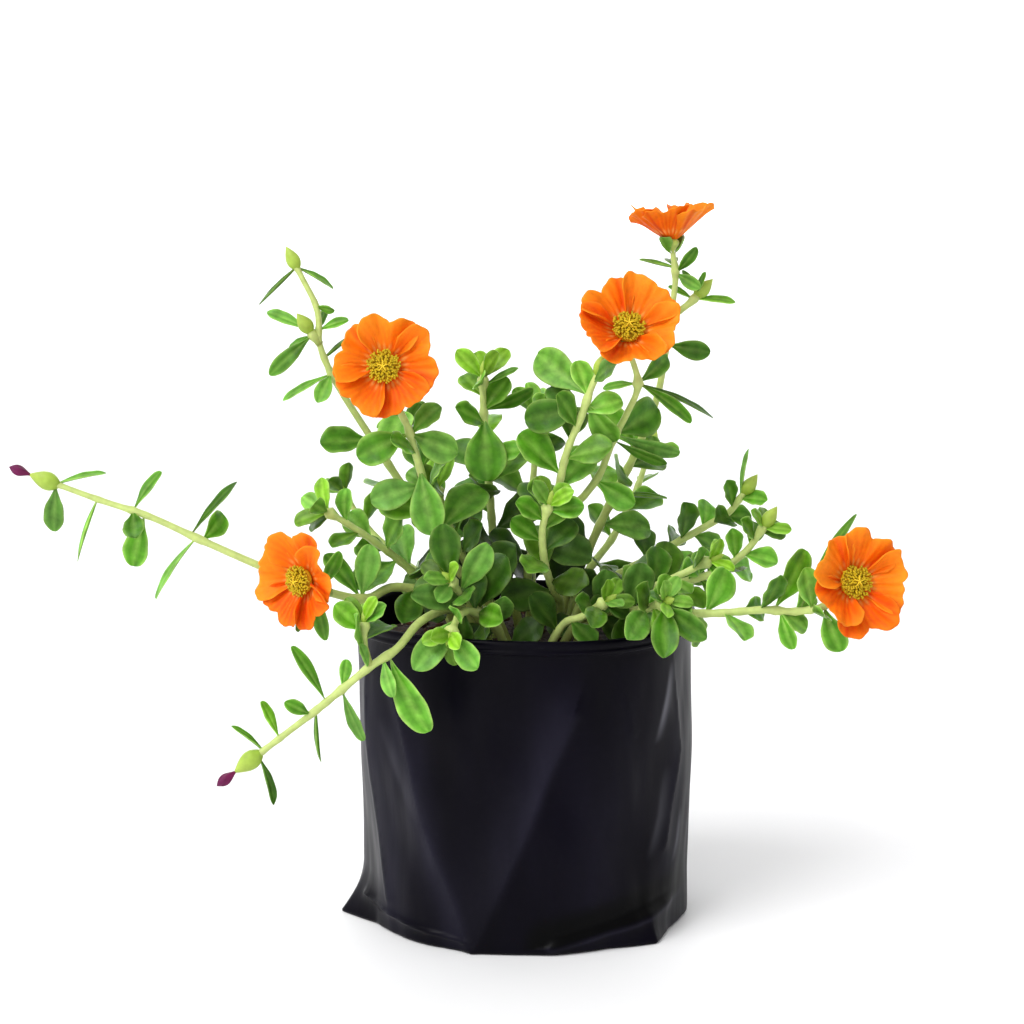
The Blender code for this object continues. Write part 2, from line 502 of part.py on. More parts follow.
def calyx_of(flower):
    """The green cup that carries a flower."""
    face = Vector(flower["facing"]).normalized()
    return dict(root=flower_base(flower) - face * CALYX_LENGTH, along=face, length=CALYX_LENGTH,
                radius=CALYX_RADIUS, belly=2.6)


def own_leaf(stem, row, chance):
    """A leaf with a place of its own, hung on the nearest point of its stem."""
    root, tip, width, turn = Vector(row[0]), Vector(row[1]), row[2], math.radians(row[3])
    line = stem["line"]
    root = min(line, key=lambda p: (p - root).length)
    direction = (tip - root).normalized()
    root = root - direction * ROOT_SINK
    flat = across(direction, TOWARDS_VIEWER)
    side = direction.cross(flat)
    normal = flat * math.cos(turn) + side * math.sin(turn)
    if normal.z < 0 and row[3] > 35:
        normal = flat * math.cos(turn) - side * math.sin(turn)
    return dict(root=root, direction=direction, normal=normal, length=(tip - root).length,
                width=width, bend=chance.uniform(0.15, 0.45), fold=chance.uniform(0.15, 0.35),
                age=chance.uniform(0.3, 0.8))


def rule_leaf(stem, index, total, chance):
    """A leaf of the rule: a golden angle round the stem from the last, opener below than at the tip."""
    share = index / max(total - 1, 1)
    first = stem.get("first", 0.30 if "foot" in stem else 0.35)
    last = stem.get("leafed", 0.97)
    t = first + (last - first) * share ** 0.85
    root, along = tangent(stem["line"], t)
    azimuth = index * GOLDEN_ANGLE + chance.uniform(-0.3, 0.3)
    size = stem["leaf"] * (1.08 - 0.42 * max(0.0, t - 0.55) / 0.45) * chance.uniform(0.86, 1.12)
    return spread_leaf(root, along, azimuth, LOW_PITCH - PITCH_FALL * t, size, chance, stem.get("slim", 0.60))


def spread_leaf(root, along, azimuth, pitch, length, chance, slim):
    """A leaf at an angle round its stem and away from it, with its face up and out of the plant."""
    u = across(along, UP + TOWARDS_VIEWER * 0.3)
    v = along.cross(u)
    outward = u * math.cos(azimuth) + v * math.sin(azimuth)
    direction = (along * math.cos(pitch) + outward * math.sin(pitch)).normalized()
    outside = Vector((root.x * SIDE_TURN, -1 if root.y < BACK_FROM else 1, 0)).normalized()
    normal = across(direction, along * 0.4 + UP * 0.45 + outside)
    return dict(root=root - direction * ROOT_SINK, direction=direction, normal=normal, length=length,
                width=length * slim, bend=chance.uniform(0.1, 0.6), fold=chance.uniform(0.12, 0.32),
                age=chance.uniform(0.2, 1.0))


def crown_leaves(stem, chance):
    """The small leaves round a stem's growing tip."""
    root, along = tangent(stem["line"], 0.985)
    count = {"rosette": 4, "bud": 3, "spent": 0, "flower": 3}[stem["end"]]
    if stem.get("own") and stem["end"] != "rosette":
        count = 0
    leaves = []
    for i in range(count):
        azimuth = i * math.tau / count + 0.4
        pitch = ROSETTE_PITCH if stem["end"] == "rosette" else BUD_PITCH
        leaf = spread_leaf(root, along, azimuth, pitch, stem["leaf"] * CROWN_SIZE, chance, 0.50)
        leaf["age"] = 0.05
        leaves.append(leaf)
    return leaves


def turned(leaf, swing, tilt, shrink):
    """The same leaf, swung round its stem side and tilted, for a try that clears its neighbours."""
    side = leaf["direction"].cross(leaf["normal"])
    rotation = Matrix.Rotation(swing, 3, leaf["normal"]) @ Matrix.Rotation(tilt, 3, side)
    moved = dict(leaf)
    moved["direction"] = (rotation @ leaf["direction"]).normalized()
    moved["normal"] = across(moved["direction"], rotation @ leaf["normal"])
    moved["length"] = leaf["length"] * shrink
    moved["width"] = leaf["width"] * shrink
    return moved


# What is tried in turn for a leaf, until one clears its neighbours: its swing, its tilt and its size
TRIES = [(0, 0, 1), (0, 0.3, 1), (0, -0.3, 1), (0.35, 0, 1), (-0.35, 0, 1), (0.35, 0.3, 0.95),
         (-0.35, 0.3, 0.95), (0.6, 0, 0.9), (-0.6, 0, 0.9), (0.4, -0.35, 0.9), (-0.4, -0.35, 0.9),
         (0, 0.6, 0.85), (0, -0.6, 0.85), (0.8, 0.3, 0.8), (-0.8, 0.3, 0.8), (0.9, -0.3, 0.75),
         (-0.9, -0.3, 0.75)]


def lay_out():
    """Hangs every leaf where it crosses nothing, and gives each stem its line, leaves and end."""
    chance = random.Random(LEAF_SEED)
    floor = SOIL_LEVEL + SOIL_ROUGHNESS + 0.0006
    taken = [tree_of(bag_guard(floor))]
    for stem in STEMS:
        stem["line"] = curve_through(route_of(stem), 0.002)
        coarse = curve_through(route_of(stem), 0.006)
        stem["tube"] = tree_of(tube_cage(coarse, partial(stem_radius, stem), grow=CLEARANCE))
        if stem["end"] != "flower":
            stem["drop"] = end_shape(stem)
            taken.append(tree_of(drop_cage(stem["drop"], grow=CLEARANCE)))
    for name, flower in FLOWERS.items():
        for petal in range(PETALS):
            taken.append(tree_of(petal_sheet(flower, petal, 6, 4)))
        taken.append(tree_of(drop_cage(calyx_of(flower), grow=CLEARANCE)))
    tubes = {stem["name"]: stem["tube"] for stem in STEMS}
    for stem in STEMS:
        stem["hung"] = []
    wanted = []
    for stem in STEMS:
        for row in stem.get("own", []):
            wanted.append((stem, own_leaf(stem, row, chance)))
    for stem in STEMS:
        for leaf in crown_leaves(stem, chance):
            wanted.append((stem, leaf))
    for stem in STEMS:
        for index in range(stem["leaves"]):
            wanted.append((stem, rule_leaf(stem, index, stem["leaves"], chance)))
    for stem, leaf in wanted:
        others = [tube for name, tube in tubes.items() if name not in (stem["name"], stem.get("on"))]
        for swing, tilt, shrink in TRIES:
            moved = turned(leaf, swing, tilt, shrink)
            start = min(0.4, 0.0036 / moved["length"])
            shape = tree_of(leaf_cage(moved, start=start, grow=CLEARANCE))
            if not sinks(shape, floor) and not crosses(shape, taken) and not crosses(shape, others):
                stem["hung"].append(moved)
                taken.append(shape)
                break
    return STEMS


def wall_radius(angle, height):
    """The bag's outer wall: soft facets, a creased front, and the cuff at the rim."""
    share = height / BAG_HEIGHT
    soft = 0.0007 * math.sin(3 * angle + 5 * share) + 0.0005 * math.sin(7 * angle - 6 * share)
    front = math.cos(angle + math.pi / 2)
    crease = -0.0010 * max(0.0, front) ** 2 * math.sin(9 * angle + 14 * share)
    flare = RIM_FLARE * share * max(-math.cos(angle), 0.45 * math.cos(angle), 0.0)
    return BAG_RADIUS + flare + (soft + crease) * math.sin(math.pi * min(1.0, share * 1.02))


def ear(angle, height):
    """The flat seam flaps that stand out at the foot of the bag."""
    spread = math.radians(17)
    left = max(0.0, 1 - abs(math.remainder(angle - math.radians(187), math.tau)) / spread)
    tucked = 0.72 * max(0.0, 1 - abs(math.remainder(angle + math.radians(45), math.tau)) / spread)
    return EAR_REACH * max(left, tucked) ** 1.3 * max(0.0, 1 - height / EAR_HEIGHT) ** 1.5


def soil_height(x, y):
    """The potting mix's top: lumps, a little lower at the wall."""
    reach = math.hypot(x, y) / SOIL_RADIUS
    lump = noise.noise(Vector((x * 90, y * 90, 3.0)))
    return SOIL_LEVEL + SOIL_ROUGHNESS * (lump - 1.2 * reach ** 4)
# Driving dimensions of the pieces as they are modelled solid
WALL = 0.0008
WALL_GAP = 0.0004
WALL_HEIGHTS = (0.005, 0.015, 0.045, 0.070)
CUFF_RISE = 0.0004
CUFF_REACH = (0.0009, 0.0013)
FOOT_TURN = 0.0010
SOIL_EDGE = SOIL_LEVEL - SOIL_ROUGHNESS
SOIL_SHARES = (0.80, 0.45)
FOOT_INSET = 0.0014
FLOOR_GAP = 0.0002
BAG_SEGMENTS = 28
TUBE_STEP = 0.0110
TUBE_SWELL = 1.15
HOLE_CLEARANCE = 0.0005
HOLE_TOP = SOIL_LEVEL + 0.0065
PETAL_THICKNESS = 0.0007
PETAL_STEPS = (4, 2)
DISC_RADIUS = 0.0030
DISC_DEPTH = 0.0016
DISC_HEIGHT = CALYX_GAP_HEIGHT + 0.0001
STAMEN_RADIUS = 0.0056
STAMEN_HEIGHT = 0.0060
STAMEN_LOBES = 0.10
STAMEN_GAP = 0.0006
FULL_BLOOM = 0.0164
SPENT_LENGTH = 0.0075
SPENT_RADIUS = 0.0014
SPENT_GAP = 0.0003
SHARP_EDGE = math.radians(50)

LEAF_GREEN = (0.17, 0.36, 0.07)
PETAL_ORANGE = (0.95, 0.22, 0.01)
STAMEN_GOLD = (0.62, 0.42, 0.04)
SPENT_MAGENTA = (0.26, 0.01, 0.10)
BAG_BLACK = (0.012, 0.011, 0.016)
SOIL_BROWN = (0.035, 0.022, 0.015)

PARTS = "portulaca_in_film_bag"
CUTTERS = "cutters"


def clear_file():
    """Leaves a file with two empty collections: the parts, and the pieces that Booleans use up."""
    for thing in list(bpy.data.objects):
        bpy.data.objects.remove(thing, do_unlink=True)
    for name in (PARTS, CUTTERS):
        box = bpy.data.collections.new(name)
        bpy.context.scene.collection.children.link(box)


def solid(cage, name="piece", box=CUTTERS):
    """Puts a cage into one of the collections as an object of triangles, its faces pointing out."""
    bmesh.ops.triangulate(cage, faces=cage.faces)
    bmesh.ops.recalc_face_normals(cage, faces=cage.faces)
    mesh = bpy.data.meshes.new(name)
    cage.to_mesh(mesh)
    cage.free()
    thing = bpy.data.objects.new(name, mesh)
    bpy.data.collections[box].objects.link(thing)
    return thing


def finish(thing, colour, roughness):
    """Gives a part its own material and smooth shading over its soft edges."""
    look = bpy.data.materials.new(thing.name + "_look")
    look.use_nodes = True
    shader = look.node_tree.nodes["Principled BSDF"]
    shader.inputs["Base Color"].default_value = (*colour, 1)
    shader.inputs["Roughness"].default_value = roughness
    look.diffuse_color = (*colour, 1)
    thing.data.materials.clear()
    thing.data.materials.append(look)
    thing.data.shade_smooth()
    thing.data.set_sharp_from_angle(angle=SHARP_EDGE)


def evaluated_mesh(thing):
    """A mesh of the object with its modifiers applied."""
    bpy.context.view_layer.update()
    return bpy.data.meshes.new_from_object(thing.evaluated_get(bpy.context.evaluated_depsgraph_get()))


def combine(thing, operation):
    """Joins or cuts a part with everything in the cutters' collection at once, and uses it up.

    The manifold solver takes the many small closed pieces in one pass.
    """
    change = thing.modifiers.new("Combine", "BOOLEAN")
    change.operation = operation
    change.operand_type = "COLLECTION"
    change.collection = bpy.data.collections[CUTTERS]
    change.solver = "MANIFOLD"
    mesh = evaluated_mesh(thing)
    thing.modifiers.remove(change)
    thing.data = mesh
    for tool in list(bpy.data.collections[CUTTERS].objects):
        bpy.data.objects.remove(tool, do_unlink=True)


def tube(line, radius_at, grow=0.0, name="piece", box=CUTTERS):
    """A stem as a curve with a bevel and caps, made a closed mesh."""
    curve = bpy.data.curves.new("line", "CURVE")
    curve.dimensions = "3D"
    curve.bevel_depth = 1.0
    curve.bevel_resolution = 0
    curve.use_fill_caps = True
    spline = curve.splines.new("POLY")
    spline.points.add(len(line) - 1)
    for i, (spot, point) in enumerate(zip(spline.points, line)):
        spot.co = (*point, 1)
        spot.radius = radius_at(i / (len(line) - 1)) * TUBE_SWELL + grow
    drawn = bpy.data.objects.new("line", curve)
    bpy.data.collections[CUTTERS].objects.link(drawn)
    mesh = evaluated_mesh(drawn)
    bpy.data.objects.remove(drawn, do_unlink=True)
    cage = bmesh.new()
    cage.from_mesh(mesh)
    bmesh.ops.remove_doubles(cage, verts=cage.verts, dist=1e-6)
    return solid(cage, name, box)


def bag_cage():
    """Wall, cuff and floor of the bag in one closed skin, with the seam flaps at its foot."""
    hem = BAG_HEIGHT - HEM_DEPTH
    outer = [(height, 0.0) for height in (*WALL_HEIGHTS, hem)]
    outer += zip((hem + CUFF_RISE, BAG_HEIGHT), CUFF_REACH)
    inner = [(height, -WALL) for height in (BAG_HEIGHT, SOIL_EDGE, *reversed(WALL_HEIGHTS))]
    inner.append((WALL, -WALL - FOOT_TURN))
    rings = []
    for height, out in [(0.0, -FOOT_TURN), *outer]:
        ring = level_ring(lambda a: wall_radius(a, height) + ear(a, height) + out, height, BAG_SEGMENTS)
        rings.append(ring)
    for height, out in inner:
        rings.append(level_ring(lambda a: wall_radius(a, height) + out, height, BAG_SEGMENTS))
    return loft_cage(rings, (Vector(), Vector((0, 0, WALL))))


def soil_cage():
    """The potting mix as it fills the bag."""
    foot = WALL + FLOOR_GAP
    rings = []
    for height in (foot, *WALL_HEIGHTS, SOIL_EDGE):
        inset = WALL + WALL_GAP + (FOOT_INSET if height == foot else 0.0)
        rings.append(level_ring(lambda a: wall_radius(a, height) - inset, height, BAG_SEGMENTS))
    for share in SOIL_SHARES:
        ring = level_ring(lambda a: SOIL_RADIUS * share, SOIL_LEVEL, BAG_SEGMENTS)
        rings.append([Vector((point.x, point.y, soil_height(point.x, point.y))) for point in ring])
    return loft_cage(rings, (Vector((0, 0, foot)), Vector((0, 0, soil_height(0, 0)))))


def bored_soil(stems):
    """The potting mix with a close hole round each stem's buried foot."""
    soil = solid(soil_cage(), "soil", PARTS)
    for stem in stems:
        if "foot" in stem:
            line = curve_through(route_of(stem), TUBE_STEP)
            buried = [point for i, point in enumerate(line) if i < 2 or line[i - 1].z < HOLE_TOP]
            tube(buried, lambda t: STEM_BASE_RADIUS, grow=HOLE_CLEARANCE)
            combine(soil, "DIFFERENCE")
    return soil


def leafy_stem(stems):
    """A stem with its branches, leaves and buds or calyxes, fused into one body."""
    name = stems[0]["name"] + "_stem"
    body = None
    for stem in stems:
        line = curve_through(route_of(stem), TUBE_STEP)
        if body:
            tube(line, partial(stem_radius, stem))
        else:
            body = tube(line, partial(stem_radius, stem), name=name, box=PARTS)
        for leaf in stem["hung"]:
            solid(leaf_cage(leaf))
        end = calyx_of(FLOWERS[stem["name"]]) if stem["end"] == "flower" else stem["drop"]
        solid(drop_cage(end))
    combine(body, "UNION")
    return body


def petals_of(name):
    """Five thin petals fused on a small disc."""
    flower = FLOWERS[name]
    disc = bmesh.new()
    bmesh.ops.create_cone(disc, segments=6, radius1=DISC_RADIUS * 0.7, radius2=DISC_RADIUS,
                          depth=DISC_DEPTH, cap_ends=True)
    place(disc, flower, DISC_HEIGHT)
    body = solid(disc, name + "_petals", PARTS)
    for petal in range(PETALS):
        sheet = solid(petal_sheet(flower, petal, *PETAL_STEPS))
        thick = sheet.modifiers.new("Thickness", "SOLIDIFY")
        thick.thickness = PETAL_THICKNESS
        thick.offset = 0
        cage = bmesh.new()
        cage.from_mesh(evaluated_mesh(sheet))
        bpy.data.objects.remove(sheet, do_unlink=True)
        solid(cage)
    combine(body, "UNION")
    return body


def place(cage, flower, height):
    """Moves a cage made about Z onto a flower's own axes."""
    right, over, face = flower_frame(flower)
    middle = flower_base(flower) + face * height
    for vert in cage.verts:
        x, y, z = vert.co
        vert.co = middle + right * x + over * y + face * z


def stamens_of(name):
    """The dense tuft of stamens as one lobed dome on a narrow foot."""
    flower = FLOWERS[name]
    scale = min(1.0, flower["radius"] / FULL_BLOOM)
    cage = bmesh.new()
    bmesh.ops.create_uvsphere(cage, u_segments=10, v_segments=5, radius=1)
    for vert in cage.verts:
        angle = math.atan2(vert.co.y, vert.co.x)
        rise = (vert.co.z + 1) / 2
        reach = math.hypot(vert.co.x, vert.co.y)
        lobed = STAMEN_RADIUS * (1 + STAMEN_LOBES * math.cos(5 * angle))
        radius = reach * (0.30 + 0.70 * rise ** 0.7) * lobed
        height = STAMEN_HEIGHT * (rise ** 0.85 - 0.08 * reach)
        vert.co = Vector((radius * math.cos(angle), radius * math.sin(angle), height)) * scale
    place(cage, flower, DISC_HEIGHT + DISC_DEPTH / 2 + STAMEN_GAP)
    return solid(cage, name + "_stamens", PARTS)


def spent_tip(stem):
    """The shrivelled petals that hang on a spent bud's end."""
    drop = stem["drop"]
    tip = dict(root=drop["root"] + drop["along"] * (drop["length"] + SPENT_GAP), along=drop["along"],
               length=SPENT_LENGTH, radius=SPENT_RADIUS, belly=0.7)
    return solid(drop_cage(tip), stem["name"] + "_spent", PARTS)


def build():
    clear_file()
    stems = lay_out()
    finish(solid(bag_cage(), "bag", PARTS), BAG_BLACK, roughness=0.30)
    finish(bored_soil(stems), SOIL_BROWN, roughness=0.95)
    for stem in stems:
        if "foot" in stem:
            family = [stem] + [other for other in stems if other.get("on") == stem["name"]]
            finish(leafy_stem(family), LEAF_GREEN, roughness=0.45)
        if stem["end"] == "spent":
            finish(spent_tip(stem), SPENT_MAGENTA, roughness=0.60)
    for name in FLOWERS:
        finish(petals_of(name), PETAL_ORANGE, roughness=0.50)
        finish(stamens_of(name), STAMEN_GOLD, roughness=0.60)


build()
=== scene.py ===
"""The finished look of a portulaca in a black film grow bag, on a pale floor in soft studio light.

Metres, Z up, the middle of the bag's base on the origin and the viewer's side towards -Y.
"""
import math
import random
from functools import partial

import bmesh
import bpy
from mathutils import Matrix, Vector, noise
from mathutils.bvhtree import BVHTree


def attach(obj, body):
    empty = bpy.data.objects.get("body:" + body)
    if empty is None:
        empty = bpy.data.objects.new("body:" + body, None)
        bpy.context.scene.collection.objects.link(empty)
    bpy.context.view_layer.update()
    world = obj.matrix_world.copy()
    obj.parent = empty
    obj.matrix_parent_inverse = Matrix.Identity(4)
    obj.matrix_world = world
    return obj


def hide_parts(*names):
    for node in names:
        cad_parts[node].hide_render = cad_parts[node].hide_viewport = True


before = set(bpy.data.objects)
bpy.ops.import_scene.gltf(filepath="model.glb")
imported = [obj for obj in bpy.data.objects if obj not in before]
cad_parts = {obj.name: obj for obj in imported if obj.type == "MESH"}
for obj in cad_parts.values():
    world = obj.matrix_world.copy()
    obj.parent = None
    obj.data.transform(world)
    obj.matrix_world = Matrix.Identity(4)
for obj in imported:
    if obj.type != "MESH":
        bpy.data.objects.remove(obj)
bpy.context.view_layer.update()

# Driving dimensions of the bag and its soil
BAG_RADIUS = 0.0535
BAG_HEIGHT = 0.101
HEM_DEPTH = 0.0045
RIM_FLARE = 0.0022
SOIL_RADIUS = 0.0518
SOIL_LEVEL = 0.0915
SOIL_ROUGHNESS = 0.0011
ROOT_DEPTH = 0.016
NECK_DEPTH = 0.006

# The wall's soft facets and the crease of its front: how deep, how many round the bag and how they climb
WALL_FACETS = [(0.0007, 3, 5), (0.0005, 7, -6)]
FRONT_CREASE = (0.0010, 9, 14)

# The flat seam flaps at the foot: how far out, how high and how wide, then where and how large each is
EAR_REACH = 0.0088
EAR_HEIGHT = 0.0165
EAR_SPREAD = math.radians(17)
EARS = [(math.radians(187), 1.0), (math.radians(-45), 0.72)]

# Driving dimensions of the plant
STEM_BASE_RADIUS = 0.0017
BRANCH_BASE_RADIUS = 0.0013
STEM_TIP_RADIUS = 0.0009
BUD_LENGTH = 0.0075
BUD_RADIUS = 0.0022
BUD_SINK = 0.2
BUD_SIZES = {"spent": 1.25, "bud": 1.0, "rosette": 0.62}
BUD_BELLY = 0.8
LEAF_THICKNESS = 0.0013
ROOT_SINK = 0.0006
BACK_FROM = 0.026
SIDE_TURN = 8
CALYX_LENGTH = 0.0055
CALYX_RADIUS = 0.0024
CALYX_GAP_HEIGHT = 0.0011

# Petals: how they spread, overlap and wave
PETALS = 5
PETAL_HALF_ANGLE = math.radians(50)
PETAL_NECK = 0.86
PETAL_SHOULDER = 0.76
PETAL_LAP = 0.105
PETAL_WAVE = 0.055
PETAL_RIPPLE = 0.035
PETAL_BASE = 0.08
PETAL_SIZES = (0.90, 1.06)
PETAL_LIFTS = (-0.06, 0.09)
PETAL_LEANS = (-0.07, 0.07)
PETAL_NOTCHES = (0.08, 0.14)

# How the leaves stand: angles from the stem, places along it, sizes, and how they are formed
LOW_PITCH = math.radians(72)
PITCH_FALL = math.radians(26)
ROSETTE_PITCH = math.radians(38)
BUD_PITCH = math.radians(55)
FIRST_ON_STEM = 0.30
FIRST_ON_BRANCH = 0.35
LAST_LEAF = 0.97
LEAF_SLIM = 0.60
LEAF_SIZES = (0.86, 1.12)
CROWN_SLIM = 0.50
CROWN_SIZE = 0.68
CROWN_AT = 0.985
CROWN_LEAVES = {"rosette": 4, "bud": 3}
OWN_FORM = dict(bend=(0.15, 0.45), fold=(0.15, 0.35), age=(0.3, 0.8))
RULE_FORM = dict(bend=(0.1, 0.6), fold=(0.12, 0.32), age=(0.2, 1.0))
CROWN_AGE = 0.05

# The room that the leaves keep, and the steps of the lines and of the plain shapes that are tested
CLEARANCE = 0.0005
RIM_CLEARANCE = 0.001
GUARD_SEGMENTS = 40
LINE_STEP = 0.002
TUBE_STEP = 0.006
TUBE_SIDES = 6
STALK = 0.0036
LONGEST_STALK = 0.4

GOLDEN_ANGLE = math.radians(137.5)
TOWARDS_VIEWER = Vector((0, -1, 0))
UP = Vector((0, 0, 1))
FLOWER_SEED = 11
LEAF_SEED = 23
DRESS_SEED = 5

